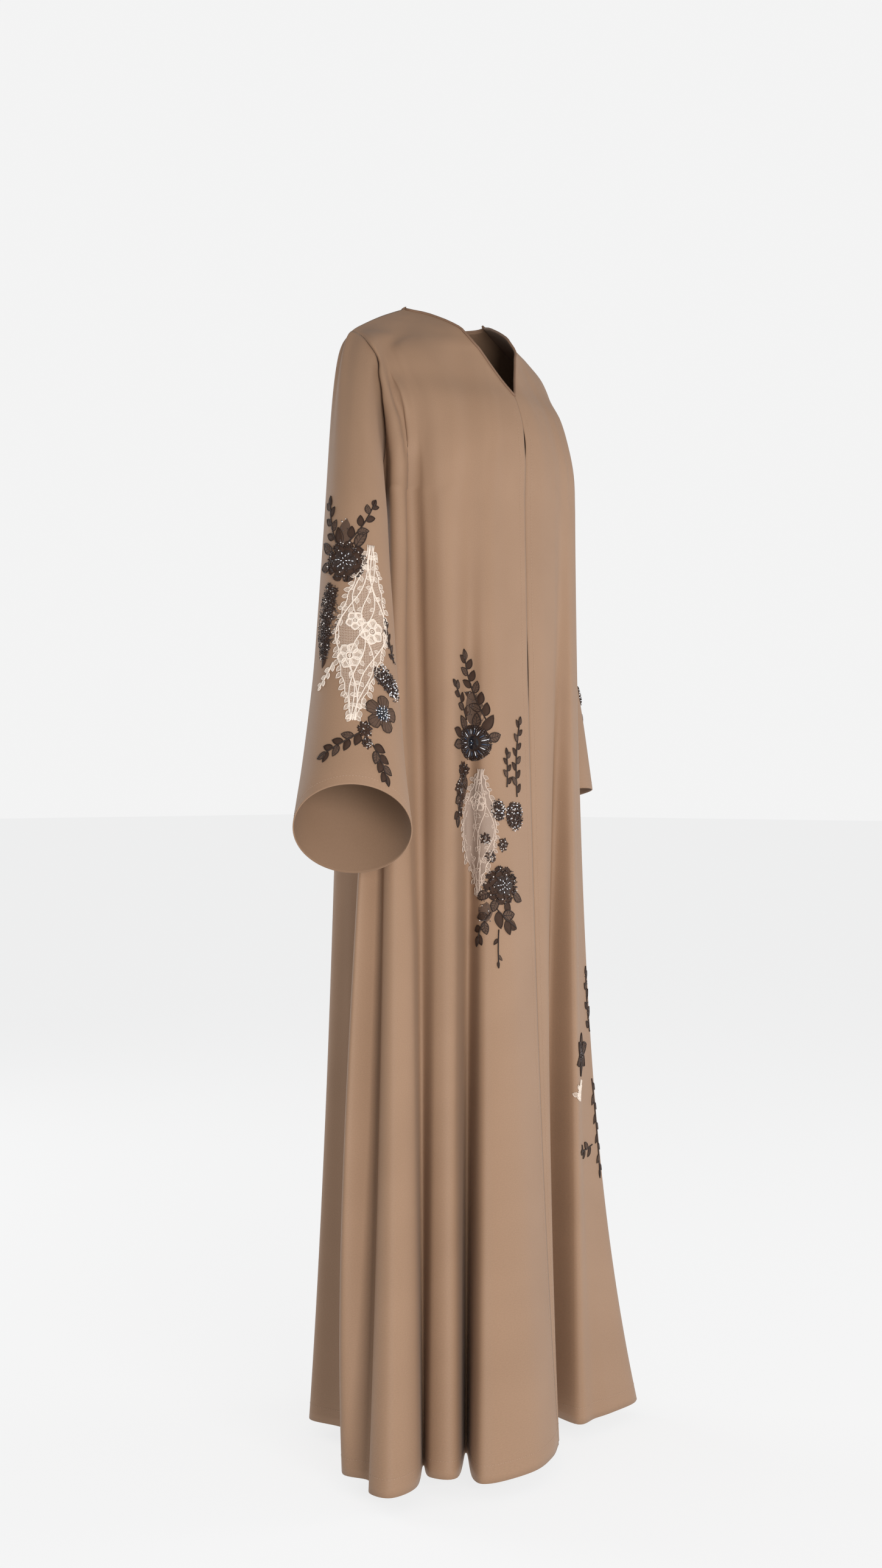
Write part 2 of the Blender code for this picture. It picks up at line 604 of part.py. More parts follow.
def sleeve_grid(side, swing, rings):
    """Outer points of a sleeve: a rounded cap, then the sections below it."""
    arm = armhole_ring(side)
    around = len(arm) - 1
    outer = {}
    for step, start in enumerate(arm):
        along = arm[(step + 1) % around] - arm[(step - 1) % around]
        away = along.cross(armhole_normal(start)).normalized()
        away *= math.copysign(1.0, away.x * side)
        start = start + away * SEAM_GAP
        end = sleeve_ring_point(side, swing, rings[0], step)
        below = sleeve_ring_point(side, swing, rings[1], step)
        reach = (end - start).length
        leave = Vector((side * CAP_LEAVES[0], CAP_LEAVES[1], CAP_LEAVES[2]))
        leave *= reach * CAP_ROUNDING
        arrive = (below - end).normalized() * reach
        for row, share in enumerate(CAP_SHARES):
            outer[step, row] = (
                start * (2 * share**3 - 3 * share**2 + 1)
                + leave * (share**3 - 2 * share**2 + share)
                + end * (3 * share**2 - 2 * share**3)
                + arrive * (share**3 - share**2)
            )
        for row, ring in enumerate(rings):
            point = sleeve_ring_point(side, swing, ring, step)
            outer[step, len(CAP_SHARES) + row] = point
    return around, len(CAP_SHARES) + len(rings) - 1, outer


def make_sleeve(name, side, swing, rings, material):
    """A set-in sleeve, one tube."""
    around, last, outer = sleeve_grid(side, swing, rings)
    normals = {}
    for step in range(around + 1):
        for row in range(last + 1):
            across = outer[(step + 1) % around, row] - outer[(step - 1) % around, row]
            down = outer[step, min(row + 1, last)] - outer[step, max(row - 1, 0)]
            normals[step, row] = across.cross(down).normalized() * side
        normals[step, 0] = armhole_normal(outer[step, 0])
    for row in range(last + 1):
        outer[around, row] = outer[0, row]
        normals[around, row] = normals[0, row]
    cloth_wall(name, around, last, outer, normals, material, closed=True)


def neck_edge():
    """Points and normals along the neckline, from the right front to the left."""
    points, normals = [], []
    for step in range(V_NECK_STEP, 0, -1):
        points.append(body_point("front_right", 0, step))
        normals.append(body_normal("front_right", 0, step))
    first, last = BACK_NECK_PLACES
    for column in range((last - first) * STEPS_PER_FOLD + 1):
        place = first + column / STEPS_PER_FOLD
        points.append(body_point("back", place, 0))
        normals.append(body_normal("back", place, 0))
    normals[V_NECK_STEP] = shoulder_normal(1)
    normals[-1] = shoulder_normal(-1)
    for step in range(1, V_NECK_STEP + 1):
        points.append(body_point("front_left", LAST_FOLD, step))
        normals.append(body_normal("front_left", LAST_FOLD, step))
    return points, normals


def make_binding(material):
    """The narrow binding that finishes the neckline."""
    points, normals = neck_edge()
    outer, directions = {}, {}
    for index, point in enumerate(points):
        ahead = points[min(index + 1, len(points) - 1)]
        behind = points[max(index - 1, 0)]
        along = (ahead - behind).normalized()
        beyond = along.cross(normals[index]).normalized()
        for row, distance in enumerate((SEAM_GAP, SEAM_GAP + BINDING_WIDTH)):
            moved = point + beyond * distance
            side = -1 if index < len(points) / 2 else 1
            over = SEAM_GAP / 2 - moved.x * side
            if over > 0:
                moved += along * (over * side / along.x)
            outer[index, row] = moved
            directions[index, row] = normals[index]
    cloth_wall("neck_binding", len(points) - 1, 1, outer, directions, material)


def along_cloth(piece, across, height):
    """A point of a piece's outer facets and its normal, from a place of the layout."""
    chart = CHARTS[piece]

    def on_column(column, row):
        if chart.closed:
            column %= chart.columns
        upper = min(int(row), chart.steps - 1)
        return chart.outer[column, upper].lerp(chart.outer[column, upper + 1], row - upper)

    def on_ring(place, row):
        left = math.floor(place)
        if left == place:
            return on_column(left, row)
        return on_column(left, row).lerp(on_column(left + 1, row), place - left)

    row = 0
    while row < chart.steps - 1 and on_ring(chart.start, row + 1).z > height:
        row += 1
    top, bottom = on_ring(chart.start, row).z, on_ring(chart.start, row + 1).z
    row += (height - top) / (bottom - top)
    heading = math.copysign(chart.heading, across * chart.heading)
    left_over = abs(across)
    place, here = chart.start, on_ring(chart.start, row)
    while True:
        stop = math.floor(place) + 1 if heading > 0 else math.ceil(place) - 1
        there = on_ring(stop, row)
        reach = (there - here).length
        at_end = not chart.closed and stop in (0, chart.columns)
        if reach >= left_over or at_end:
            break
        left_over -= reach
        place, here = stop, there
    point = here.lerp(there, left_over / reach)
    middle = (place + stop) / 2
    down = on_ring(middle, min(row + 0.5, chart.steps)) - on_ring(middle, max(row - 0.5, 0))
    normal = (there - here).cross(down).normalized() * heading * chart.facing
    hit, facet_normal, face, distance = chart.tree.ray_cast(point + normal * FACET_SEARCH, -normal)
    return (hit, facet_normal) if hit else (point, normal)


def lift_over(piece, flat):
    """How far a flat mesh must be raised to pass over the cloth's ridges."""
    on_cloth = {vertex: along_cloth(piece, vertex.co.x, vertex.co.y)[0] for vertex in flat.verts}
    lift = 0.0
    for face in flat.faces:
        corners = face.verts[:]
        for first, second in zip(corners, corners[1:] + corners[:1]):
            for share in EDGE_PROBES:
                spot = first.co.lerp(second.co, share)
                point, normal = along_cloth(piece, spot.x, spot.y)
                chord = on_cloth[first].lerp(on_cloth[second], share)
                lift = max(lift, (point - chord).dot(normal))
        for weights in FACE_PROBES:
            spot = sum((corner.co * weight for corner, weight in zip(corners, weights)), Vector())
            point, normal = along_cloth(piece, spot.x, spot.y)
            chord = sum((on_cloth[corner] * weight for corner, weight in zip(corners, weights)), Vector())
            lift = max(lift, (point - chord).dot(normal))
    return lift


def sew_on(name, piece, flat, material):
    """Lay a flat mesh, whose z is its relief, on the cloth as a closed solid."""
    bmesh.ops.triangulate(flat, faces=flat.faces[:])
    clearance = APPLIQUE_CLEARANCE + lift_over(piece, flat)
    inner = {}
    for vertex in flat.verts:
        relief = vertex.co.z
        point, normal = along_cloth(piece, vertex.co.x, vertex.co.y)
        vertex.co = point + normal * (clearance + APPLIQUE + relief)
        inner[tuple(vertex.co)] = point + normal * clearance
    wall = bmesh.ops.extrude_face_region(flat, geom=flat.faces[:])
    for item in wall["geom"]:
        if isinstance(item, bmesh.types.BMVert):
            item.co = inner[tuple(item.co)]
    bmesh.ops.recalc_face_normals(flat, faces=flat.faces[:])
    return finish_piece(piece + "_" + name, flat, material)


def leaf_outline(base, direction, length, slim, half_stem):
    """A leaf's outline, from one side of its foot by the tip to the other."""
    across = Vector((-direction.y, direction.x))
    half_width = length / slim / 2
    return [
        base - across * half_stem,
        base + direction * length * LEAF_WAIST - across * half_width,
        base + direction * length,
        base + direction * length * LEAF_WAIST + across * half_width,
        base + across * half_stem,
    ]


def spray_outline(spray):
    """The outline of a stem with a leaf at its tip and others by turns."""
    foot, tip = Vector(spray.foot), Vector(spray.tip)
    along = tip - foot
    beside = Vector((-along.y, along.x)) * spray.bow
    half_stem = STEM_WIDTH / 2

    def stem(share):
        point = foot + along * share + beside * 4 * share * (1 - share)
        heading = (along + beside * 4 * (1 - 2 * share)).normalized()
        return point, heading

    top = 1 - TIP_LEAF * spray.leaf / along.length
    sides = {1: [], -1: []}
    for index in range(spray.leaves):
        side = 1 if index % 2 == 0 else -1
        share = top * (index + FIRST_LEAF) / spray.leaves
        point, heading = stem(share)
        square = Vector((-heading.y, heading.x)) * side
        direction = (heading * math.cos(LEAF_ANGLE) + square * math.sin(LEAF_ANGLE)).normalized()
        base = point + square * half_stem
        length = spray.leaf * (1 - LEAF_TAPER * share)
        leaf = leaf_outline(base, direction, length, spray.slim, half_stem)
        sides[side].append(leaf)
    point, heading = stem(0.0)
    foot_side = Vector((-heading.y, heading.x)) * half_stem
    outline = [point - foot_side]
    for leaf in sides[-1]:
        outline += leaf
    point, heading = stem(top)
    outline += leaf_outline(point, heading, spray.leaf * TIP_LEAF, spray.slim, half_stem)
    for leaf in reversed(sides[1]):
        outline += leaf
    outline.append(foot + foot_side)
    return outline


def make_spray(spray, piece, material):
    """A leafy spray, filled from its outline."""
    flat = bmesh.new()
    corners = [flat.verts.new((point.x, point.y, 0.0)) for point in spray_outline(spray)]
    edges = [flat.edges.new(pair) for pair in zip(corners, corners[1:] + corners[:1])]
    bmesh.ops.triangle_fill(flat, edges=edges, use_beauty=True)
    sew_on(spray.name, piece, flat, material)


def make_flower(flower, piece, material):
    """A petalled flower or knobbly cluster: rings that rise toward the middle."""
    around = flower.petals * STEPS_PER_PETAL
    flat = bmesh.new()
    bmesh.ops.create_grid(flat, x_segments=around, y_segments=FLOWER_RINGS, size=0.5)
    tilt = math.radians(flower.tilt)
    for vertex in flat.verts:
        turn = 2 * math.pi * (vertex.co.x + 0.5)
        share = vertex.co.y + 0.5
        scallop = 1 - flower.notch * share * (0.5 - 0.5 * math.cos(flower.petals * turn))
        right = flower.wide * share * scallop * math.cos(turn)
        up = flower.tall * share * scallop * math.sin(turn)
        vertex.co = (
            flower.across + right * math.cos(tilt) - up * math.sin(tilt),
            flower.height + right * math.sin(tilt) + up * math.cos(tilt),
            FLOWER_RELIEF * (1 - share),
        )
    bmesh.ops.remove_doubles(flat, verts=flat.verts[:], dist=1e-6)
    sew_on(flower.name, piece, flat, material)


def make_patch(patch, piece, material):
    """A lace patch lofted between its near and far edges, row by row."""
    rows = patch_rows(patch)
    steps = len(rows) - 1
    flat = bmesh.new()
    bmesh.ops.create_grid(flat, x_segments=PATCH_COLUMNS, y_segments=steps, size=0.5)
    for vertex in flat.verts:
        share = vertex.co.x + 0.5
        place = (0.5 - vertex.co.y) * (len(rows) - 1)
        upper = min(int(place), len(rows) - 2)
        part = place - upper
        near = rows[upper].near * (1 - part) + rows[upper + 1].near * part
        far = rows[upper].far * (1 - part) + rows[upper + 1].far * part
        height = rows[upper].height * (1 - part) + rows[upper + 1].height * part
        vertex.co = (near + (far - near) * share, height, 0.0)
    sew_on(patch.name, piece, flat, material)


def make_applique():
    """Every motif, on the pieces that carry it."""
    fill_charts()
    materials = {
        "dark": new_material("dark embroidery", EMBROIDERY_COLOUR, THREAD_ROUGHNESS),
        "lace": new_material("pale lace", LACE_COLOUR, LACE_ROUGHNESS),
    }
    for spray in SPRAYS:
        for piece in pieces_of(spray.piece):
            make_spray(spray, piece, materials[spray.colour])
    for flower in FLOWERS:
        for piece in pieces_of(flower.piece):
            make_flower(flower, piece, materials["dark"])
    for patch in PATCHES:
        for piece in pieces_of(patch.piece):
            make_patch(patch, piece, materials["lace"])


def pieces_of(where):
    """The pieces that a row of a table is sewn on."""
    if where == BOTH_SLEEVES:
        return [name for name, side, swing, rings in SLEEVES]
    return [where]


def fill_charts():
    """Note each piece's outer points, where its line starts and which way it runs."""
    for name, side, swing, rings in SLEEVES:
        columns, steps, outer = sleeve_grid(side, swing, rings)
        foremost = YOKE_STEPS * (90.0 - SPRAY_TURNS[name]) / 180.0
        CHARTS[name] = Chart(outer, columns, steps, foremost, 1, side, True, piece_tree(name))
    for name, heading in ((RIGHT_FRONT, 1), (LEFT_FRONT, -1)):
        columns, outer, normals = panel_grid(name)
        start = 0 if heading > 0 else columns
        CHARTS[name] = Chart(outer, columns, LAST_STEP, start, heading, 1, False, piece_tree(name))


def piece_tree(name):
    """A search tree of a finished piece's faces."""
    faces = bmesh.new()
    faces.from_mesh(bpy.data.objects[name].data)
    tree = BVHTree.FromBMesh(faces)
    faces.free()
    return tree


Chart = namedtuple("Chart", "outer columns steps start heading facing closed tree")
CHARTS = {}
GARMENT = bpy.data.collections.new("abaya")


def main():
    """Build the whole garment."""
    clear_scene()
    bpy.context.scene.collection.children.link(GARMENT)
    cloth = new_material("crepe", CLOTH_COLOUR, CLOTH_ROUGHNESS)
    binding = new_material("neck binding", BINDING_COLOUR, THREAD_ROUGHNESS)
    make_body(cloth)
    for name, side, swing, rings in SLEEVES:
        make_sleeve(name, side, swing, rings, cloth)
    make_binding(binding)
    make_applique()


main()
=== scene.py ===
"""Looks of a worn abaya: fine cloth, stitching, lace, embroidery and beads.

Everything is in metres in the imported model's frame: the front faces -Y, the
wearer's left is +X and +Z is up, with the origin between the two neck points.
The cloth's shape comes from the same sizes and tables as the model's, sampled
more finely. What is sewn on is laid out flat, as across, height and rise, and
is then laid on the cloth.
"""

import math
import random
from collections import namedtuple

import bmesh
import bpy
import numpy as np
from mathutils import Matrix, Vector


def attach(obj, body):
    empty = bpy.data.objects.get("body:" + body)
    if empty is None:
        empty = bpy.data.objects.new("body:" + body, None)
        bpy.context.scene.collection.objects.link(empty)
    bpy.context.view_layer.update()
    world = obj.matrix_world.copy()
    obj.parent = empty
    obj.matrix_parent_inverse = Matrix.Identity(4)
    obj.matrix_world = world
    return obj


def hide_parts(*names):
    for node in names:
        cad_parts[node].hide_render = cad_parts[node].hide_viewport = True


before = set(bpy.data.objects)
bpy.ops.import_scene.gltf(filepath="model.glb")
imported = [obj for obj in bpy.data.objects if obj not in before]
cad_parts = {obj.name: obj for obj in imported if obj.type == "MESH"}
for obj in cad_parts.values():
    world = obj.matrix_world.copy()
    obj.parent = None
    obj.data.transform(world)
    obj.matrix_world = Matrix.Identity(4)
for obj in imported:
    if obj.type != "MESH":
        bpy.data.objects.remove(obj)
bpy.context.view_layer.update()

# Driving dimensions, in metres
GARMENT_LENGTH = 1.41
UNDERARM_DROP = 0.245
SHOULDER_DROP = 0.042
FRONT_NECK_DROP = 0.115
BACK_NECK_DROP = 0.012
CLOTH = 0.0013
SEAM_GAP = 0.0003
YOKE_STEPS = 10
V_NECK_STEP = 6

# How finely the cloth is sampled
COLUMNS_PER_FOLD = 8
ROWS_PER_YOKE_STEP = 4
SKIRT_ROWS = 110
SLEEVE_COLUMNS = 96
SLEEVE_ROWS = 96

# Studio: the camera's level direction, and its focal length and the image's height
# in pixels
CAMERA_DIRECTION = (0.743, 0.669, 0.0)
FOCAL_LENGTH = 3479
IMAGE_HEIGHT = 2576
SENSOR_HEIGHT = 36.0
CAMERA_DISTANCE = 2.7
CAMERA_HEIGHT = -0.60
CAMERA_ASIDE = 0.035
FLOOR_HEIGHT = -1.43
BACKDROP_COLOUR = (0.90, 0.90, 0.90)
AMBIENT_COLOUR = (0.97, 0.985, 1.0)
AMBIENT_STRENGTH = 0.42
FLOOR_SHADE = 0.16
FLOOR_GLOW = 0.79
LIGHTS = [
    ("key", (-1.6, -2.80, -0.60), (0.0, 0.0, -0.8), 1.4, 86.0),
    ("side", (2.9, -1.9, -0.55), (0.0, 0.0, -0.9), 1.5, 40.0),
    ("back", (-0.4, 3.2, 0.4), (0.0, 0.0, -0.8), 2.0, 42.0),
]

# The worn form from the neck points to the underarms: level superellipses.
Section = namedtuple("Section", "height half_width front_depth back_depth centre squareness")
FORM = [
    Section(0.000, 0.074, 0.050, 0.024, 0.040, 1.0),
    Section(-0.006, 0.090, 0.072, 0.033, 0.044, 1.0),
    Section(-0.015, 0.112, 0.092, 0.045, 0.048, 1.0),
    Section(-0.028, 0.139, 0.110, 0.058, 0.050, 1.0),
    Section(-0.038, 0.158, 0.110, 0.066, 0.049, 1.05),
    Section(-0.051, 0.176, 0.105, 0.074, 0.0455, 1.2),
    Section(-0.062, 0.186, 0.098, 0.079, 0.040, 1.3),
    Section(-0.080, 0.181, 0.094, 0.086, 0.033, 1.5),
    Section(-0.099, 0.176, 0.096, 0.092, 0.028, 1.65),
    Section(-0.125, 0.172, 0.1035, 0.099, 0.022, 1.9),
    Section(-0.160, 0.172, 0.110, 0.105, 0.018, 2.05),
    Section(-0.200, 0.172, 0.111, 0.109, 0.016, 2.3),
    Section(-0.245, 0.172, 0.109, 0.110, 0.015, 2.4),
]

# Edges drawn on the form, for the wearer's right.
FormPoint = namedtuple("FormPoint", "turn height")
FRONT_NECKLINE = [
    FormPoint(90.0, 0.0),
    FormPoint(59.0, -0.006),
    FormPoint(44.5, -0.015),
    FormPoint(35.3, -0.028),
    FormPoint(30.6, -0.038),
    FormPoint(24.3, -0.051),
    FormPoint(19.5, -0.060),
    FormPoint(12.0, -0.080),
    FormPoint(5.8, -0.099),
    FormPoint(0.0, -FRONT_NECK_DROP),
]
FRONT_ARMHOLE = [
    FormPoint(90.0, -SHOULDER_DROP),
    FormPoint(77.0, -0.045),
    FormPoint(68.0, -0.060),
    FormPoint(67.0, -0.082),
    FormPoint(71.0, -0.106),
    FormPoint(74.5, -0.135),
    FormPoint(75.5, -0.165),
    FormPoint(78.0, -0.202),
    FormPoint(83.0, -0.234),
    FormPoint(90.0, -UNDERARM_DROP),
]
BACK_ARMHOLE = [
    FormPoint(90.0, -SHOULDER_DROP),
    FormPoint(101.0, -0.047),
    FormPoint(108.0, -0.068),
    FormPoint(110.0, -0.098),
    FormPoint(110.0, -0.130),
    FormPoint(110.0, -0.165),
    FormPoint(107.0, -0.205),
    FormPoint(99.0, -0.236),
    FormPoint(90.0, -UNDERARM_DROP),
]

# Crests and troughs, each from the underarm level to the hem.
# "flare" is the share of its way out that a fold leaves to its lower part.
EARLY_GROWTH = 1.25
LATE_GROWTH = 4
BULGE_FLATNESS = 8
YOKE_FADE = 1.5
Fold = namedtuple("Fold", "name turn bulge hem_turn hem_radius flare")
FOLDS = [
    Fold("right front edge", 0.0, 0.000, 1.0, 0.150, 0.25),
    Fold("right panel", 6.0, 0.000, 15.0, 0.182, 0.25),
    Fold("right panel, middle", 11.0, 0.000, 28.0, 0.218, 0.25),
    Fold("right panel corner", 15.5, 0.001, 42.5, 0.249, 0.25),
    Fold("right panel turn", 20.5, 0.000, 47.4, 0.232, 0.25),
    Fold("hip trough", 28.5, -0.004, 50.0, 0.135, 0.10),
    Fold("narrow fold, front half", 38.5, 0.002, 52.0, 0.228, 0.20),
    Fold("narrow fold, back half", 45.5, 0.002, 60.2, 0.230, 0.20),
    Fold("side trough", 57.0, -0.004, 65.0, 0.192, 0.20),
    Fold("side fold edge", 62.5, 0.005, 61.6, 0.268, 0.20),
    Fold("side fold", 68.5, 0.013, 65.0, 0.312, 0.20),
    Fold("side fold, middle", 73.0, 0.010, 70.5, 0.305, 0.20),
    Fold("side crease", 77.0, 0.003, 74.5, 0.266, 0.20),
    Fold("side fold, back half", 81.0, 0.003, 83.0, 0.262, -0.80),
    Fold("side fold return", 86.0, 0.000, 90.5, 0.215, -0.80),
    Fold("right side seam", 90.0, 0.000, 105.0, 0.140, 0.20),
    Fold("back fold 1 front", 101.0, 0.000, 127.0, 0.165, 0.20),
    Fold("back fold 1", 111.0, 0.000, 138.0, 0.202, 0.20),
    Fold("back fold 1 return", 121.0, 0.000, 150.0, 0.195, 0.20),
    Fold("back trough 1", 132.0, 0.000, 157.0, 0.148, 0.20),
    Fold("back fold 2", 144.0, 0.000, 166.5, 0.214, 0.20),
    Fold("back trough 2", 158.0, 0.000, 176.0, 0.152, 0.20),
    Fold("back fold 3", 172.0, 0.000, 186.0, 0.218, 0.20),
    Fold("back trough 3", 187.0, 0.000, 197.5, 0.150, 0.20),
    Fold("back fold 4", 202.0, 0.000, 209.0, 0.212, 0.20),
    Fold("back trough 4", 216.0, 0.000, 221.0, 0.152, 0.20),
    Fold("back fold 5", 230.0, 0.000, 233.0, 0.217, 0.20),
    Fold("back trough 5", 244.0, 0.000, 244.5, 0.154, 0.20),
    Fold("back fold 6", 258.0, 0.000, 256.0, 0.220, 0.20),
    Fold("left side seam", 270.0, 0.000, 263.5, 0.188, 0.20),
    Fold("left side trough", 275.0, 0.000, 270.5, 0.148, 0.20),
    Fold("left side fold", 280.0, 0.000, 279.0, 0.226, 0.40),
    Fold("left side trough, front", 286.0, 0.000, 285.5, 0.168, 0.50),
    Fold("left fold, back half", 293.0, 0.001, 291.0, 0.240, 0.60),
    Fold("left fold", 301.0, 0.003, 299.0, 0.232, 0.62),
    Fold("left fold, front half", 310.0, 0.003, 309.0, 0.188, 0.62),
    Fold("left fold corner", 318.0, 0.003, 316.5, 0.162, 0.50),
    Fold("left fold turn", 325.0, 0.000, 327.0, 0.140, -0.20),
    Fold("left trough", 333.0, -0.004, 303.0, 0.102, -0.80),
    Fold("left trough, front half", 342.0, -0.002, 340.0, 0.096, 0.20),
    Fold("left front strip", 352.0, 0.001, 353.0, 0.134, 0.25),
    Fold("left front edge", 360.0, 0.000, 360.0, 0.146, 0.25),
]
FOLD_NAMES = [fold.name for fold in FOLDS]
RIGHT_SEAM = FOLD_NAMES.index("right side seam")
LEFT_SEAM = FOLD_NAMES.index("left side seam")
LAST_FOLD = len(FOLDS) - 1
BACK_NECK_PLACES = (FOLD_NAMES.index("back fold 2"), FOLD_NAMES.index("back trough 4"))

# Sleeve sections: "reach" and "side" place the centre in plan, along the
# direction of the arm's swing and square to it; "lift" tips the ring up there.
Ring = namedtuple("Ring", "height reach side half_deep half_wide lift")
RIGHT_ARM_SWING = 48.0
RIGHT_RINGS = [
    Ring(-0.285, 0.184, 0.1360, 0.047, 0.0375, 0.05),
    Ring(-0.340, 0.195, 0.1360, 0.049, 0.0405, 0.10),
    Ring(-0.400, 0.206, 0.1355, 0.052, 0.0445, 0.15),
    Ring(-0.470, 0.226, 0.1350, 0.053, 0.0490, 0.25),
    Ring(-0.530, 0.245, 0.1350, 0.053, 0.0545, 0.42),
    Ring(-0.585, 0.262, 0.1355, 0.053, 0.0600, 0.65),
    Ring(-0.625, 0.275, 0.1358, 0.0525, 0.0650, 0.86),
    Ring(-0.652, 0.282, 0.1360, 0.052, 0.0685, 1.00),
]
LEFT_ARM_SWING = 0.0
LEFT_RINGS = [
    Ring(-0.285, -0.066, 0.2215, 0.043, 0.0390, 0.00),
    Ring(-0.340, -0.075, 0.2260, 0.047, 0.0400, 0.00),
    Ring(-0.400, -0.082, 0.2310, 0.055, 0.0435, 0.02),
    Ring(-0.460, -0.086, 0.2395, 0.062, 0.0465, 0.05),
    Ring(-0.520, -0.089, 0.2480, 0.069, 0.0510, 0.09),
    Ring(-0.575, -0.092, 0.2545, 0.075, 0.0560, 0.14),
    Ring(-0.620, -0.095, 0.2600, 0.080, 0.0600, 0.18),
]
CAP_ROUNDING = 0.30
CAP_LEAVES = (0.85, 0.0, -0.5)
SLEEVES = [
    ("sleeve_right", -1, RIGHT_ARM_SWING, RIGHT_RINGS),
    ("sleeve_left", 1, LEFT_ARM_SWING, LEFT_RINGS),
]

# The applique is laid out on the cloth: "across" runs over the cloth from a line
# down it (a line of the sleeve, toward the body; the front edge of a
# front, toward the side) and the height is read along that line. Rows for "both
# sleeves" are sewn on each sleeve, one the mirror image of the other.
# A sleeve's line lies that many degrees outward from the front.
SPRAY_TURNS = {"sleeve_right": 48.0, "sleeve_left": 90.0}
BOTH_SLEEVES = "both sleeves"
RIGHT_FRONT = "front_right"
LEFT_FRONT = "front_left"

# Leafy sprays: "bow" is the stem's rise as a share of its length, "slim" is a
# leaf's length over its width.
Spray = namedtuple("Spray", "name piece foot tip bow leaves leaf slim colour")
SPRAYS = [
    Spray("top_sprig", BOTH_SLEEVES, (-0.022, -0.318), (-0.034, -0.262), 0.06, 5, 0.013, 2.2, "dark"),
    Spray("crown_sprig", BOTH_SLEEVES, (-0.006, -0.319), (0.028, -0.262), -0.06, 6, 0.013, 2.2, "dark"),
    Spray("beaded_spray", BOTH_SLEEVES, (-0.029, -0.372), (-0.038, -0.450), -0.04, 10, 0.012, 1.8, "dark"),
    Spray("lace_sprig", BOTH_SLEEVES, (-0.024, -0.459), (-0.047, -0.486), 0.05, 6, 0.007, 2.0, "lace"),
    Spray("side_stem", BOTH_SLEEVES, (0.060, -0.452), (0.042, -0.406), 0.04, 6, 0.009, 3.0, "dark"),
    Spray("cuff_branch", BOTH_SLEEVES, (0.012, -0.540), (-0.041, -0.563), 0.05, 7, 0.013, 2.3, "dark"),
    Spray("cuff_spray", BOTH_SLEEVES, (0.024, -0.552), (0.046, -0.592), 0.05, 6, 0.013, 2.0, "dark"),
    Spray("tall_spray", RIGHT_FRONT, (0.082, -0.522), (0.106, -0.436), -0.05, 10, 0.015, 2.3, "dark"),
    Spray("side_sprig", RIGHT_FRONT, (0.108, -0.522), (0.134, -0.474), 0.05, 5, 0.012, 1.9, "dark"),
    Spray("drop_spray", RIGHT_FRONT, (0.112, -0.576), (0.146, -0.652), 0.04, 7, 0.015, 1.9, "dark"),
    Spray("edge_spray", RIGHT_FRONT, (0.034, -0.616), (0.020, -0.517), -0.05, 10, 0.012, 2.4, "dark"),
    Spray("inner_sprig", RIGHT_FRONT, (0.054, -0.604), (0.052, -0.556), 0.03, 5, 0.010, 2.3, "dark"),
    Spray("flower_leaves", RIGHT_FRONT, (0.084, -0.750), (0.050, -0.775), 0.04, 3, 0.019, 2.0, "dark"),
    Spray("low_branch", RIGHT_FRONT, (0.092, -0.755), (0.116, -0.796), 0.05, 4, 0.014, 2.2, "dark"),
    Spray("tail_stem", RIGHT_FRONT, (0.082, -0.776), (0.086, -0.822), 0.02, 2, 0.009, 3.0, "dark"),
    Spray("high_sprig", LEFT_FRONT, (0.225, -0.924), (0.207, -0.838), 0.04, 6, 0.013, 2.2, "dark"),
    Spray("long_stem", LEFT_FRONT, (0.232, -0.985), (0.256, -1.115), 0.03, 9, 0.013, 2.4, "dark"),
    Spray("low_spray", LEFT_FRONT, (0.232, -1.069), (0.178, -1.070), 0.04, 4, 0.014, 2.3, "dark"),
]

# Petalled flowers and knobbly bead clusters: half sizes, a tilt in degrees, and
# how deep the notches between petals are as a share of the size.
Flower = namedtuple("Flower", "name piece across height wide tall tilt petals notch")
FLOWERS = [
    Flower("large_flower", BOTH_SLEEVES, -0.011, -0.345, 0.0210, 0.0210, 0.0, 8, 0.14),
    Flower("bead_cluster", BOTH_SLEEVES, 0.046, -0.480, 0.0200, 0.0105, -27.0, 7, 0.12),
    Flower("small_flower", BOTH_SLEEVES, 0.036, -0.516, 0.0180, 0.0180, 12.0, 5, 0.28),
    Flower("ring_flower", RIGHT_FRONT, 0.101, -0.550, 0.0190, 0.0190, 0.0, 9, 0.12),
    Flower("bead_cluster", RIGHT_FRONT, 0.041, -0.641, 0.0140, 0.0160, 0.0, 6, 0.16),
    Flower("bead_knot", RIGHT_FRONT, 0.071, -0.634, 0.0095, 0.0110, 0.0, 5, 0.16),
    Flower("low_flower", RIGHT_FRONT, 0.072, -0.723, 0.0205, 0.0205, 0.0, 8, 0.14),
    Flower("leaf_cluster", LEFT_FRONT, 0.191, -0.948, 0.0210, 0.0260, 0.0, 6, 0.26),
]

# Lace patches, each a plain long leaf from its top to its foot: "bow" is how far
# its middle line swings toward the far side, and "wide" its greatest width.
Patch = namedtuple("Patch", "name piece top foot bow wide")
PATCHES = [
    Patch("lace", BOTH_SLEEVES, (0.020, -0.322), (0.000, -0.528), 0.000, 0.046),
    Patch("lace", RIGHT_FRONT, (0.088, -0.582), (0.103, -0.730), 0.004, 0.028),
    Patch("lace", LEFT_FRONT, (0.186, -0.980), (0.168, -1.002), 0.000, 0.012),
]
PATCH_STEPS = 11
PATCH_ENDS = 0.12
PATCH_TAPER = 1.5
PatchRow = namedtuple("PatchRow", "height near far")
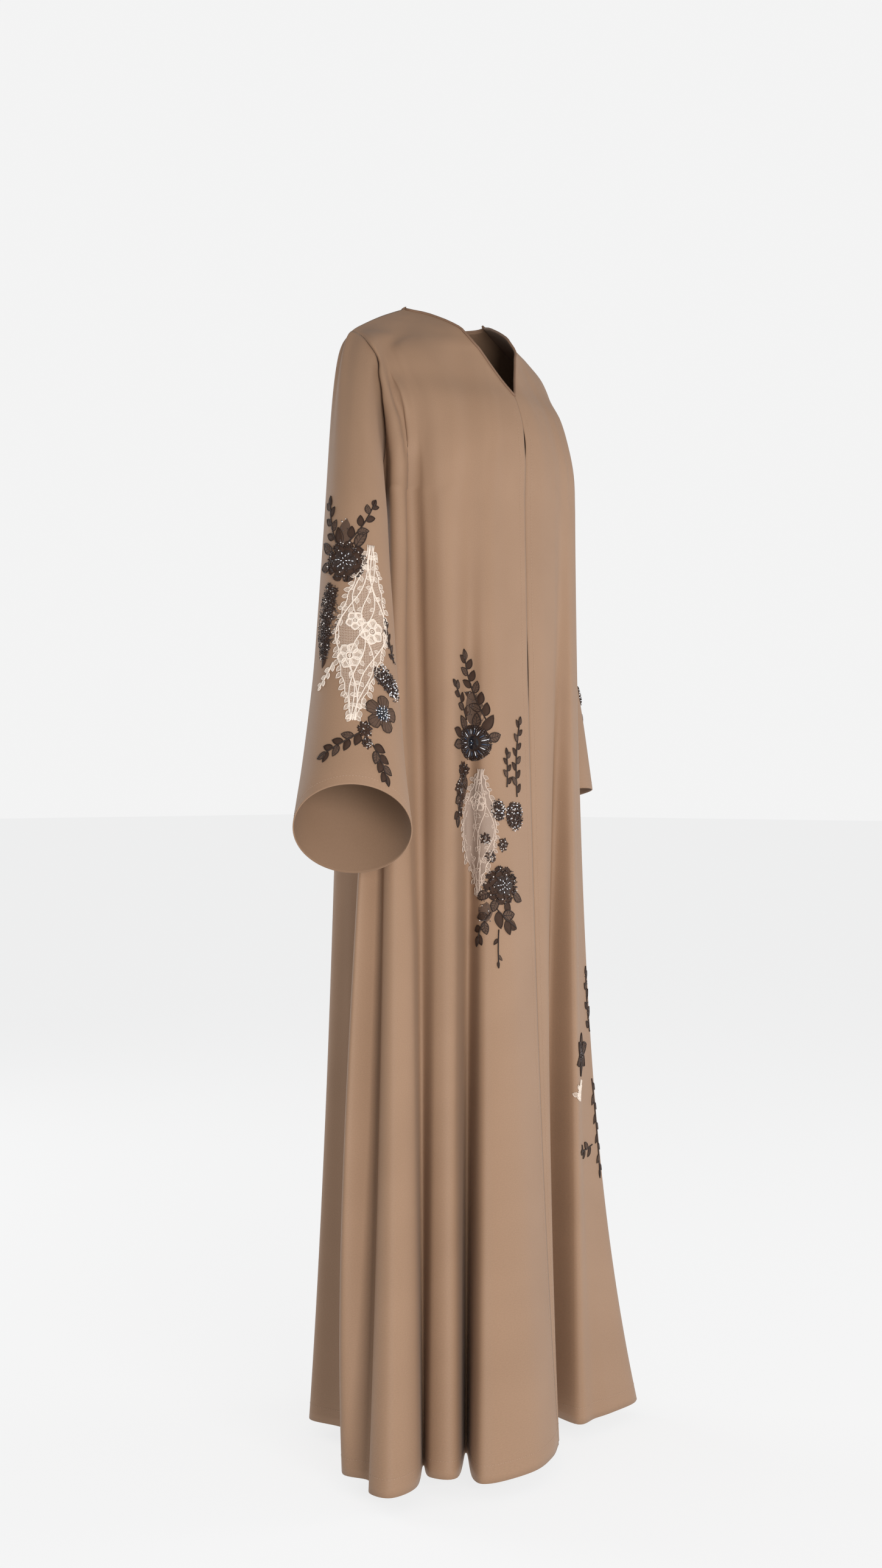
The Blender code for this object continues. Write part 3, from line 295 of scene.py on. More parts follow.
# A leaf of the embroidery, foot and tip laid out as above, in metres: "satin"
# is thread laid side by side, "veined" is net with a corded edge, "lace" is pale.
Leaf = namedtuple("Leaf", "foot tip width look")
LEAF_FULLNESS = 0.82
LEAF_ROUNDNESS = 0.78
LEAF_BEND = 0.05
BEADED_STEMS = ("side_stem", "drop_spray", "high_sprig")
# Sheer leaves that lie between a flower or a spray and its neighbours
Veil = namedtuple("Veil", "motif foot tip width")
VEILS = [
    Veil("large_flower", (-0.012, -0.330), (-0.008, -0.290), 0.020),
    Veil("tall_spray", (0.096, -0.532), (0.100, -0.486), 0.026),
    Veil("drop_spray", (0.118, -0.586), (0.138, -0.640), 0.024),
    Veil("low_flower", (0.096, -0.742), (0.100, -0.768), 0.020),
]
# Leaves fanned round a flower, from one angle to another in degrees
Fan = namedtuple("Fan", "motif leaves start end reach width")
FANS = [
    Fan("large_flower", 4, 60.0, 190.0, 0.022, 0.0110),
    Fan("ring_flower", 6, -10.0, 170.0, 0.022, 0.0115),
    Fan("low_flower", 4, 215.0, 340.0, 0.018, 0.0105),
]
# How much wider and taller a flower's ruffles reach than its raised part, and
# how far across and up its middle lies from that part's
FLOWER_GROWTH = {
    "large_flower": (1.20, 1.18, 0.001, 0.003),
    "small_flower": (1.20, 1.14, 0.0, 0.0),
    "ring_flower": (1.30, 1.16, 0.0, 0.0),
    "low_flower": (1.30, 1.16, 0.0, 0.0),
    "leaf_cluster": (1.35, 1.05, -0.010, 0.0),
    "bead_cluster": (1.35, 1.25, 0.0, 0.002),
    "bead_knot": (1.35, 1.30, 0.0, 0.002),
}
CUFF_KNOTS = [((0.015, -0.537), 0.0105), ((0.018, -0.552), 0.0080)]
SMALL_BLOSSOMS = [
    ((0.092, -0.666), 0.009),
    ((0.066, -0.674), 0.010),
    ((0.087, -0.688), 0.009),
    ((0.121, -0.584), 0.013),
    ((0.134, -0.606), 0.013),
]

# Pale flowers of the lace
LaceFlower = namedtuple("LaceFlower", "where centre radius petals tilt")
LACE_FLOWERS = [
    LaceFlower(BOTH_SLEEVES, (0.022, -0.424), 0.015, 6, 0.4),
    LaceFlower(BOTH_SLEEVES, (-0.004, -0.453), 0.015, 6, 0.1),
    LaceFlower(BOTH_SLEEVES, (0.002, -0.412), 0.011, 5, 0.9),
    LaceFlower(RIGHT_FRONT, (0.100, -0.622), 0.012, 5, 0.3),
]
# A patch as worn: how much wider than its raised part and how far across from
# it, and the cords that wander down it, "sway" being a share of its half width
WornLace = namedtuple("WornLace", "wider aside cords width sway")
WORN_LACE = {
    BOTH_SLEEVES: WornLace(1.26, 0.001, 5, 0.0012, 0.48),
    RIGHT_FRONT: WornLace(1.90, 0.004, 5, 0.0008, 0.26),
    LEFT_FRONT: WornLace(1.50, -0.006, 2, 0.0010, 0.30),
}

# Stitching beside the front edges, the hem and the cuffs, in metres from the edge
FRONT_STITCH_ASIDE = 0.0100
HEM_TURN_UP = 0.020
CUFF_TURN_UP = 0.010
EDGE_LAYOUTS = {
    RIGHT_FRONT: lambda columns: (0, 1),
    LEFT_FRONT: lambda columns: (columns - 1, -1),
}


def cubic(start, leave, end, arrive, part):
    """A smooth step from start to end, by the slopes it leaves and arrives with."""
    return (
        start * (2 * part**3 - 3 * part**2 + 1)
        + leave * (part**3 - 2 * part**2 + part)
        + end * (3 * part**2 - 2 * part**3)
        + arrive * (part**3 - part**2)
    )


def through(value_at, count, place):
    """A smooth curve through count values, one for each whole place."""
    first = min(max(int(math.floor(place)), 0), count - 2)
    start, end = value_at(first), value_at(first + 1)
    before = value_at(first - 1) if first > 0 else start * 2 - end
    after = value_at(first + 2) if first + 2 < count else end * 2 - start
    return cubic(start, (end - before) * 0.5, end, (after - start) * 0.5, place - first)


def patch_rows(patch):
    """The near and far edges of a leaf-shaped patch at even steps down it."""
    rows = []
    for step in range(PATCH_STEPS + 1):
        share = step / PATCH_STEPS
        swell = math.sin(math.pi * share) ** PATCH_TAPER
        half = patch.wide * 0.5 * (PATCH_ENDS + (1 - PATCH_ENDS) * swell)
        middle = patch.top[0] + (patch.foot[0] - patch.top[0]) * share
        middle += patch.bow * 4 * share * (1 - share)
        height = patch.top[1] + (patch.foot[1] - patch.top[1]) * share
        rows.append(PatchRow(height, middle - half, middle + half))
    return rows


def section_at(height):
    """The form's level section at a height, read smoothly from its table."""
    heights = [section.height for section in FORM]
    row = 0
    while row < len(heights) - 2 and height < heights[row + 1]:
        row += 1
    part = (height - heights[row]) / (heights[row + 1] - heights[row])

    def slope(index, column):
        below = min(index + 1, len(FORM) - 1)
        above = max(index - 1, 0)
        rise = FORM[below][column] - FORM[above][column]
        return rise / (heights[below] - heights[above])

    span = heights[row + 1] - heights[row]
    values = [height]
    for column in range(1, len(Section._fields)):
        leave, arrive = slope(row, column) * span, slope(row + 1, column) * span
        values.append(cubic(FORM[row][column], leave, FORM[row + 1][column], arrive, part))
    return Section(*values)


def plan_direction(turn):
    """The level unit vector that points out from the body at a turn."""
    angle = math.radians(turn)
    return Vector((-math.sin(angle), -math.cos(angle), 0.0))


def form_point(turn, height, bulge=0.0):
    """A point of the worn form, moved out by a bulge."""
    section = section_at(height)
    angle = math.radians(turn)
    power = 2.0 / section.squareness
    across = math.copysign(abs(math.sin(angle)) ** power, math.sin(angle))
    along = math.copysign(abs(math.cos(angle)) ** power, math.cos(angle))
    depth = section.front_depth if along > 0 else section.back_depth
    point = Vector((-section.half_width * across, section.centre - depth * along, height))
    return point + plan_direction(turn) * bulge


def fold_point(index, height):
    """Where one crest or trough lies at a height below the underarm."""
    fold = FOLDS[index]
    top = form_point(fold.turn, -UNDERARM_DROP, fold.bulge)
    hem = plan_direction(fold.hem_turn) * fold.hem_radius
    share = (-UNDERARM_DROP - height) / (GARMENT_LENGTH - UNDERARM_DROP)
    growth = (1 - fold.flare) * share**EARLY_GROWTH + fold.flare * share**LATE_GROWTH
    point = top.lerp(hem, growth)
    point.z = height
    return point


def turn_at(place):
    """The turn at the underarm level of a place between folds."""
    return through(lambda index: FOLDS[index].turn, len(FOLDS), place)


def yoke_bulge(turn, across, share):
    """How far the cloth above the underarms bulges, dying out at its edges."""
    for fold, after in zip(FOLDS, FOLDS[1:]):
        if fold.turn <= turn <= after.turn:
            part = (turn - fold.turn) / (after.turn - fold.turn)
            part = part * part * (3 - 2 * part)
            bulge = fold.bulge * (1 - part) + after.bulge * part
            return bulge * (1 - abs(2 * across - 1) ** BULGE_FLATNESS) * share * (2 - share)
    return 0.0


def on_edge(edge, share):
    """The turn and height at a share of the way along an edge of the form."""
    place = share * (len(edge) - 1)
    turn = through(lambda index: edge[index].turn, len(edge), place)
    height = through(lambda index: edge[index].height, len(edge), place)
    return turn, height


def front_edge(step):
    """Turn and height down the neckline and then the front edge."""
    if step <= V_NECK_STEP:
        return on_edge(FRONT_NECKLINE, step / V_NECK_STEP)
    share = (step - V_NECK_STEP) / (YOKE_STEPS - V_NECK_STEP)
    return 0.0, -FRONT_NECK_DROP - share * (UNDERARM_DROP - FRONT_NECK_DROP)


def front_yoke(place, step):
    """A point of a front above the underarms; the left one mirrors the right."""
    turn_below = turn_at(place)
    across = min(turn_below, 360.0 - turn_below) / 90.0
    inner_turn, inner_height = front_edge(step)
    outer_turn, outer_height = on_edge(FRONT_ARMHOLE, step / YOKE_STEPS)
    turn = inner_turn + (outer_turn - inner_turn) * across
    height = inner_height + (outer_height - inner_height) * across
    if turn_below > 180.0:
        turn = 360.0 - turn
    return form_point(turn, height, yoke_bulge(turn, across, step / YOKE_STEPS))


def back_top(across):
    """Turn and height along the back's top: seam, neckline, seam."""
    neck_start = (FOLDS[BACK_NECK_PLACES[0]].turn - 90.0) / 180.0
    if across <= neck_start:
        return 90.0, -SHOULDER_DROP * (1 - across / neck_start)
    if across >= 1 - neck_start:
        return 270.0, -SHOULDER_DROP * (1 - (1 - across) / neck_start)
    share = (across - neck_start) / (1 - 2 * neck_start)
    return 90.0 + 180.0 * share, -BACK_NECK_DROP * math.sin(math.pi * share)


def back_yoke(place, step):
    """A point of the back above the underarms."""
    across = (turn_at(place) - 90.0) / 180.0
    share = step / YOKE_STEPS
    side_turn, side_height = on_edge(BACK_ARMHOLE, share)
    top_turn, top_height = back_top(across)
    fade = 1 - share * (YOKE_FADE - (YOKE_FADE - 1) * share**2)
    turn = side_turn + (360.0 - 2 * side_turn) * across
    turn += fade * (top_turn - 90.0 - 180.0 * across)
    height = side_height + fade * (top_height + SHOULDER_DROP)
    return form_point(turn, height, yoke_bulge(turn, across, share))


def armhole_ring(side):
    """Points round an armhole, from the shoulder by the front and back again."""
    ring = []
    for step in range(2 * YOKE_STEPS + 1):
        edge, share = FRONT_ARMHOLE, step / YOKE_STEPS
        if step > YOKE_STEPS:
            edge, share = BACK_ARMHOLE, 2 - step / YOKE_STEPS
        point = form_point(*on_edge(edge, share))
        point.x *= -side
        ring.append(point)
    return ring


def sleeve_ring_point(side, swing, ring, step):
    """A point of one sleeve section; steps run as in the armhole ring."""
    angle = math.radians(swing)
    forward = Vector((side * math.sin(angle), -math.cos(angle), 0.0))
    outward = Vector((side * math.cos(angle), math.sin(angle), 0.0))
    around = math.pi / 2 - angle - math.pi * step / YOKE_STEPS
    point = forward * (ring.reach + ring.half_deep * math.cos(around))
    point += outward * (ring.side + ring.half_wide * math.sin(around))
    point.z = ring.height + ring.lift * ring.half_deep * math.cos(around)
    return point


def sleeve_point(side, swing, rings, arm, step, row):
    """A point of a sleeve: its rounded cap above row 1, its sections below."""
    around = len(arm) - 1
    start = through(lambda index: arm[index % around], 10**6, step + around * 10)
    first = sleeve_ring_point(side, swing, rings[0], step)
    if row >= 1:
        place = (row - 1) * (len(rings) - 1)
        return through(
            lambda index: sleeve_ring_point(side, swing, rings[index], step), len(rings), place
        )
    below = sleeve_ring_point(side, swing, rings[1], step)
    reach = (first - start).length
    leave = Vector((side * CAP_LEAVES[0], CAP_LEAVES[1], CAP_LEAVES[2])) * reach * CAP_ROUNDING
    arrive = (below - first).normalized() * reach
    return cubic(start, leave, first, arrive, row)


# ---------------------------------------------------------------- fine cloth

# Soft ridges and furrows pressed into a front, along a line of turns and heights:
# "aside" is how far toward the side seam its middle lies, "half" its half width.
Crease = namedtuple("Crease", "panel line aside half depth")
SHOULDER_LINE = [(96.0, -0.040), (87.0, -0.097), (78.6, -0.156), (74.2, -0.210), (73.4, -0.280),
                 (72.7, -0.338), (72.4, -0.408), (71.0, -0.560)]
LOW_SHOULDER_LINE = [(76.0, -0.190), (73.4, -0.300), (72.7, -0.400), (71.8, -0.500), (69.6, -0.780)]
NARROW_LINE = [(60.6, -0.200), (60.1, -0.224), (57.6, -0.408), (56.6, -0.621), (56.0, -0.800)]
CREASES = [
    Crease("front_right", SHOULDER_LINE, 0.011, 0.011, 0.0070),
    Crease("front_right", SHOULDER_LINE, -0.002, 0.0046, -0.0088),
    Crease("front_right", LOW_SHOULDER_LINE, -0.002, 0.0070, -0.0072),
    Crease("front_right", NARROW_LINE, 0.004, 0.009, 0.0020),
    Crease("front_right", NARROW_LINE, -0.016, 0.010, -0.0016),
    Crease("front_right", [(38.0, -0.230), (37.0, -0.400), (36.0, -0.700)], 0.0, 0.012, 0.0012),
    Crease("front_left", [(-36.0, -0.220), (-36.0, -0.500), (-38.0, -0.800)], 0.0, 0.014, 0.0014),
]

PANEL_ENDS = {
    "front_right": (0, RIGHT_SEAM),
    "back": (RIGHT_SEAM, LEFT_SEAM),
    "front_left": (LEFT_SEAM, LAST_FOLD),
}

# Creases fade out this many places from a panel's edges. Along its line a crease
# swells as a sine that one power draws toward its start and the other flattens.
# The front edges part over the last of these, in places.
CREASE_HOLD = 1.2
CREASE_START = 0.6
CREASE_FADE = 0.8
EDGE_REACH = 0.35
# Where the front edges part a little between their hidden snaps: from, to, half gap
FRONT_SLITS = [(-0.155, -0.196, 0.0013), (-0.405, -0.510, 0.0010)]


def smooth_rows(values, places):
    """A smooth curve through rows of points, read at many places at once."""
    count = len(values)
    padded = np.vstack([2 * values[0] - values[1], values, 2 * values[-1] - values[-2]])
    first = np.clip(places.astype(int), 0, count - 2)
    part = (places - first)[:, None]
    before, start = padded[first], padded[first + 1]
    end, after = padded[first + 2], padded[first + 3]
    return cubic(start, (end - before) * 0.5, end, (after - start) * 0.5, part)


def grid_normals(points, closed=False):
    """Outward normals of a grid of points, by central differences."""
    if closed:
        wrapped = np.concatenate([points[-2:-1], points, points[1:2]])
        across = wrapped[2:] - wrapped[:-2]
    else:
        across = np.gradient(points, axis=0)
    down = np.gradient(points, axis=1)
    normals = np.cross(across, down)
    return normals / np.maximum(np.linalg.norm(normals, axis=2, keepdims=True), 1e-12)


def body_grid(panel):
    """A panel's fine grid of outer points: columns across, rows down."""
    first, last = PANEL_ENDS[panel]
    places = np.linspace(first, last, (last - first) * COLUMNS_PER_FOLD + 1)
    yoke = front_yoke if panel != "back" else back_yoke
    steps = np.linspace(0, YOKE_STEPS, YOKE_STEPS * ROWS_PER_YOKE_STEP + 1)[:-1]
    upper = np.array([[yoke(place, step) for step in steps] for place in places])
    shares = np.linspace(0, 1, SKIRT_ROWS + 1)
    lower = []
    for share in shares:
        height = -UNDERARM_DROP - share * (GARMENT_LENGTH - UNDERARM_DROP)
        folds = np.array([fold_point(index, height) for index in range(len(FOLDS))])
        lower.append(smooth_rows(folds, places))
    points = np.concatenate([upper, np.stack(lower, axis=1)], axis=1)
    return press_creases(panel, places - first, points)


def press_creases(panel, places, points):
    """Move a panel's points out or in along its creases, and part the front edges."""
    normals = grid_normals(points)
    heights = points[:, :, 2]
    turns = np.degrees(np.arctan2(-points[:, :, 0], -points[:, :, 1]))
    reach = np.hypot(points[:, :, 0], points[:, :, 1])
    moved = np.zeros(heights.shape)
    width = places[-1]
    hold = np.minimum(1, np.minimum(places, width - places) / CREASE_HOLD)[:, None]
    for crease in CREASES:
        if crease.panel != panel:
            continue
        levels = [height for turn, height in crease.line]
        line = np.interp(-heights, [-level for level in levels], [turn for turn, level in crease.line])
        aside = np.radians(turns - line) * reach - crease.aside
        shape = np.exp(-((aside / crease.half) ** 2))
        run = np.clip((levels[0] - heights) / (levels[0] - levels[-1]), 0, 1)
        moved += crease.depth * shape * np.sin(math.pi * run**CREASE_START) ** CREASE_FADE * hold
    points = points + normals * moved[:, :, None]
    if panel != "back":
        edge = places if panel == "front_right" else width - places
        side = -1 if panel == "front_right" else 1
        near = np.exp(-((edge[:, None] / EDGE_REACH) ** 2))
        for top, foot, gap in FRONT_SLITS:
            run = np.clip((top - heights) / (top - foot), 0, 1)
            points[:, :, 0] += side * gap * np.sin(math.pi * run) * near
        points[:, :, 0] += side * SEAM_GAP * near * (heights < -FRONT_NECK_DROP)
    return points


def sleeve_fine_grid(side, swing, rings):
    """A sleeve's fine grid of outer points: columns around, rows down."""
    arm = armhole_ring(side)
    steps = np.linspace(0, 2 * YOKE_STEPS, SLEEVE_COLUMNS + 1)
    rows = np.concatenate([np.linspace(0, 1, SLEEVE_ROWS // 3)[:-1], np.linspace(1, 2, SLEEVE_ROWS)])
    return np.array(
        [[sleeve_point(side, swing, rings, arm, step, row) for row in rows] for step in steps]
    )


# Points of one part that lie nearer than this are one point, in metres; a cord's
# are finer
MERGE = 1e-6
CORD_MERGE = 1e-7


class Cloth:
    """A piece of cloth as a fine grid, with its outward normals."""

    def __init__(self, name, points, closed, flip):
        self.name = name
        self.points = points
        self.closed = closed
        self.normals = grid_normals(points, closed) * (-1 if flip else 1)

    def distance_down(self):
        """How far down each column every row lies."""
        steps = np.linalg.norm(np.diff(self.points, axis=1), axis=2)
        return np.concatenate([np.zeros((len(self.points), 1)), np.cumsum(steps, axis=1)], axis=1)

    def distance_across(self):
        """How far across each row every column lies."""
        steps = np.linalg.norm(np.diff(self.points, axis=0), axis=2)
        return np.concatenate([np.zeros((1, self.points.shape[1])), np.cumsum(steps, axis=0)])


def make_clothes():
    """Every large piece of cloth, by the name of its node."""
    clothes = {}
    for panel in PANEL_ENDS:
        clothes[panel] = Cloth(panel, body_grid(panel), False, False)
    for name, side, swing, rings in SLEEVES:
        clothes[name] = Cloth(name, sleeve_fine_grid(side, swing, rings), True, side < 0)
    return clothes


def grid_part(columns, rows, place_at, merge=0.0):
    """A grid of faces; place_at gives a point and a UV from x and y, each -0.5 to 0.5."""
    part = bmesh.new()
    layer = part.loops.layers.uv.new("UVMap")
    bmesh.ops.create_grid(part, x_segments=columns, y_segments=rows, size=0.5)
    for vertex in part.verts:
        point, reading = place_at(vertex.co.x, vertex.co.y)
        for loop in vertex.link_loops:
            loop[layer].uv = reading
        vertex.co = point
    if merge:
        bmesh.ops.remove_doubles(part, verts=part.verts[:], dist=merge)
    return part


def cloth_object(cloth, materials):
    """A thin wall of cloth whose UVs are distances over it, in metres."""
    columns, rows = cloth.points.shape[:2]
    across, down = cloth.distance_across(), cloth.distance_down()
    middle = rows // 2

    def place_at(x, y):
        column, row = round((x + 0.5) * (columns - 1)), round((0.5 - y) * (rows - 1))
        return Vector(cloth.points[column, row]), (across[column, middle], down[column, row])

    grid = grid_part(columns - 1, rows - 1, place_at, MERGE if cloth.closed else 0.0)
    if cloth.normals[columns // 2, middle].dot(grid_face_normal(grid, cloth)) < 0:
        bmesh.ops.reverse_faces(grid, faces=grid.faces[:])
    piece = new_piece(cloth.name + "_cloth", grid, materials)
    wall = piece.modifiers.new("thickness", "SOLIDIFY")
    wall.thickness = CLOTH
    wall.offset = -1
    # The inner wall takes the next material: the same crepe made darker, as painted shade inside the cloth
    wall.material_offset = 1
    return piece


def grid_face_normal(grid, cloth):
    """The normal of the face nearest the middle of a piece's grid."""
    columns, rows = cloth.points.shape[:2]
    middle = Vector(cloth.points[columns // 2, rows // 2])
    grid.normal_update()
    face = min(grid.faces, key=lambda face: (face.calc_center_median() - middle).length_squared)
    return np.array(face.normal)


def new_piece(name, grid, materials):
    """A smooth piece that rides on the only body."""
    mesh = bpy.data.meshes.new(name)
    grid.to_mesh(mesh)
    grid.free()
    for material in materials:
        mesh.materials.append(material)
    mesh.shade_smooth()
    piece = bpy.data.objects.new(name, mesh)
    bpy.context.scene.collection.objects.link(piece)
    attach(piece, "root")
    return piece


# ---------------------------------------------------------------- laying flat work on cloth


class Layout:
    """Reads places on a piece of cloth: across and height give a point and a normal."""

    STEP = 0.001

    def __init__(self, cloth, start, heading, reach, span):
        points, normals = cloth.points, cloth.normals
        if cloth.closed:
            points, normals = points[:-1], normals[:-1]
            shift = len(points) // 2 - round(start)
            points = np.roll(points, shift, axis=0)
            normals = np.roll(normals, shift, axis=0)
            start = len(points) // 2
        if heading < 0:
            points, normals = points[::-1], normals[::-1]
            start = len(points) - 1 - start
        start = int(start)
        steps = np.linalg.norm(np.diff(points, axis=0), axis=2)
        arc = np.concatenate([np.zeros((1, points.shape[1])), np.cumsum(steps, axis=0)])
        arc -= arc[start]
        self.low, self.high = reach
        self.bottom, self.top = span
        across = np.arange(self.low, self.high, self.STEP)
        heights = np.arange(self.top, self.bottom, -self.STEP)
        both = np.concatenate([points, normals], axis=2)
        by_row = np.empty((points.shape[1], len(across), 6))
        for row in range(points.shape[1]):
            for axis in range(6):
                by_row[row, :, axis] = np.interp(across, arc[:, row], both[:, row, axis])
        level = points[start, :, 2]
        place = np.interp(-heights, -level, np.arange(len(level)))
        upper = np.clip(place.astype(int), 0, len(level) - 2)
        part = (place - upper)[:, None, None]
        self.table = by_row[upper] * (1 - part) + by_row[upper + 1] * part
        middle = self.table[len(self.table) // 2, self.table.shape[1] // 2]
        beside = self.table[len(self.table) // 2, self.table.shape[1] // 2 + 2]
        above = self.table[len(self.table) // 2 - 2, self.table.shape[1] // 2]
        turn = np.cross(beside[:3] - middle[:3], above[:3] - middle[:3])
        self.mirrored = bool(turn.dot(middle[3:]) < 0)

    def lay(self, flat):
        """Flat points (across, height, rise) as points on the cloth."""
        column = np.clip((flat[:, 0] - self.low) / self.STEP, 0, self.table.shape[1] - 1.001)
        row = np.clip((self.top - flat[:, 1]) / self.STEP, 0, self.table.shape[0] - 1.001)
        left, upper = column.astype(int), row.astype(int)
        part, share = (column - left)[:, None], (row - upper)[:, None]
        both = (
            self.table[upper, left] * (1 - part) * (1 - share)
            + self.table[upper, left + 1] * part * (1 - share)
            + self.table[upper + 1, left] * (1 - part) * share
            + self.table[upper + 1, left + 1] * part * share
        )
        normals = both[:, 3:] / np.linalg.norm(both[:, 3:], axis=1, keepdims=True)
        return both[:, :3] + normals * flat[:, 2:3]


def make_layouts(clothes):
    """A layout for each piece that carries applique."""
    layouts = {}
    for name, *_ in SLEEVES:
        foremost = SLEEVE_COLUMNS * (90.0 - SPRAY_TURNS[name]) / 360.0
        layouts[name] = Layout(clothes[name], foremost, 1, (-0.12, 0.12), (-0.64, -0.24))
    layouts[RIGHT_FRONT] = Layout(clothes[RIGHT_FRONT], 0, 1, (0.0, 0.24), (-0.86, -0.40))
    last = len(clothes[LEFT_FRONT].points) - 1
    layouts[LEFT_FRONT] = Layout(clothes[LEFT_FRONT], last, -1, (0.0, 0.30), (-1.18, -0.74))
    return layouts


# ---------------------------------------------------------------- materials


def new_group(name, inputs, outputs):
    """An empty node group with named sockets; returns it with its two end nodes."""
    group = bpy.data.node_groups.new(name, "ShaderNodeTree")
    for label, kind, value in inputs:
        socket = group.interface.new_socket(label, in_out="INPUT", socket_type=kind)
        if value is not None:
            socket.default_value = value
    for label, kind in outputs:
        group.interface.new_socket(label, in_out="OUTPUT", socket_type=kind)
    return group, group.nodes.new("NodeGroupInput"), group.nodes.new("NodeGroupOutput")


def feed(tree, value, socket):
    """Give a socket a number, or link another socket to it."""
    if isinstance(value, (int, float)):
        socket.default_value = value
    else:
        tree.links.new(value, socket)


def math_node(tree, operation, *values):
    """A Math node whose inputs are sockets or numbers; returns its output."""
    node = tree.nodes.new("ShaderNodeMath")
    node.operation = operation
    for slot, value in enumerate(values):
        feed(tree, value, node.inputs[slot])
    return node.outputs[0]


def noise_node(tree, place, scale, detail):
    """A Noise texture's value at a place."""
    node = tree.nodes.new("ShaderNodeTexNoise")
    node.inputs["Detail"].default_value = detail
    tree.links.new(place, node.inputs["Vector"])
    feed(tree, scale, node.inputs["Scale"])
    return node.outputs["Fac"]


def make_weave_group():
    """Over-and-under threads with uneven twist, as a height from 0 to 1."""
    group, start, end = new_group(
        "weave",
        [("Place", "NodeSocketVector", None), ("Threads", "NodeSocketFloat", 12000.0)],
        [("Height", "NodeSocketFloat")],
    )
    split = group.nodes.new("ShaderNodeSeparateXYZ")
    group.links.new(start.outputs["Place"], split.inputs[0])
    waves = []
    for way in split.outputs[:2]:
        turn = math_node(group, "MULTIPLY", way, start.outputs["Threads"])
        waves.append(math_node(group, "SINE", turn))
    crossing = math_node(group, "MULTIPLY", *waves)
    uneven = noise_node(group, start.outputs["Place"], 900.0, 3.0)
    total = math_node(group, "ADD", math_node(group, "MULTIPLY", crossing, 0.25), uneven)
    group.links.new(total, end.inputs["Height"])
    return group


def make_mottle_group():
    """A cloth's colour with slow and fine variation."""
    group, start, end = new_group(
        "mottle",
        [
            ("Place", "NodeSocketVector", None),
            ("Dark", "NodeSocketColor", (0.3, 0.2, 0.1, 1.0)),
            ("Light", "NodeSocketColor", (0.4, 0.3, 0.2, 1.0)),
            ("Broad", "NodeSocketFloat", 9.0),
            ("Fine", "NodeSocketFloat", 700.0),
        ],
        [("Color", "NodeSocketColor")],
    )
    place, broad, fine = (start.outputs[name] for name in ("Place", "Broad", "Fine"))
    both = math_node(
        group, "ADD", noise_node(group, place, broad, 2.0), noise_node(group, place, fine, 2.0)
    )
    share = math_node(group, "MULTIPLY", both, 0.5)
    mix = group.nodes.new("ShaderNodeMix")
    mix.data_type = "RGBA"
    group.links.new(share, mix.inputs["Factor"])
    group.links.new(start.outputs["Dark"], mix.inputs["A"])
    group.links.new(start.outputs["Light"], mix.inputs["B"])
    group.links.new(mix.outputs["Result"], end.inputs["Color"])
    return group


def make_satin_group():
    """Threads laid side by side across the work, as a height from 0 to 1."""
    group, start, end = new_group(
        "satin thread",
        [
            ("Place", "NodeSocketVector", None),
            ("Threads", "NodeSocketFloat", 14000.0),
            ("Slant", "NodeSocketFloat", 0.6),
        ],
        [("Height", "NodeSocketFloat")],
    )
    split = group.nodes.new("ShaderNodeSeparateXYZ")
    group.links.new(start.outputs["Place"], split.inputs[0])
    across = math_node(group, "ABSOLUTE", split.outputs[0])
    slanted = math_node(group, "MULTIPLY", across, start.outputs["Slant"])
    along = math_node(group, "ADD", split.outputs[1], slanted)
    wave = math_node(group, "SINE", math_node(group, "MULTIPLY", along, start.outputs["Threads"]))
    height = math_node(group, "MULTIPLY_ADD", wave, 0.5, 0.5)
    group.links.new(height, end.inputs["Height"])
    return group


def make_net_group():
    """A fine even net: 1 on its threads, 0 in its holes."""
    group, start, end = new_group(
        "fine net",
        [
            ("Place", "NodeSocketVector", None),
            ("Meshes", "NodeSocketFloat", 900.0),
            ("Thread", "NodeSocketFloat", 0.16),
        ],
        [("Mask", "NodeSocketFloat")],
    )
    cells = group.nodes.new("ShaderNodeTexVoronoi")
    cells.feature = "DISTANCE_TO_EDGE"
    cells.voronoi_dimensions = "2D"
    cells.inputs["Randomness"].default_value = 0.35
    group.links.new(start.outputs["Place"], cells.inputs["Vector"])
    group.links.new(start.outputs["Meshes"], cells.inputs["Scale"])
    mask = math_node(group, "LESS_THAN", cells.outputs["Distance"], start.outputs["Thread"])
    group.links.new(mask, end.inputs["Mask"])
    return group


def plain_material(name, roughness, **sockets):
    """A material with its plain numbers set on the shader's own sockets."""
    material = bpy.data.materials.new(name)
    material.use_nodes = True
    shader = material.node_tree.nodes["Principled BSDF"]
    shader.inputs["Roughness"].default_value = roughness
    for label, value in sockets.items():
        shader.inputs[label.replace("_", " ")].default_value = value
    return material, material.node_tree, shader


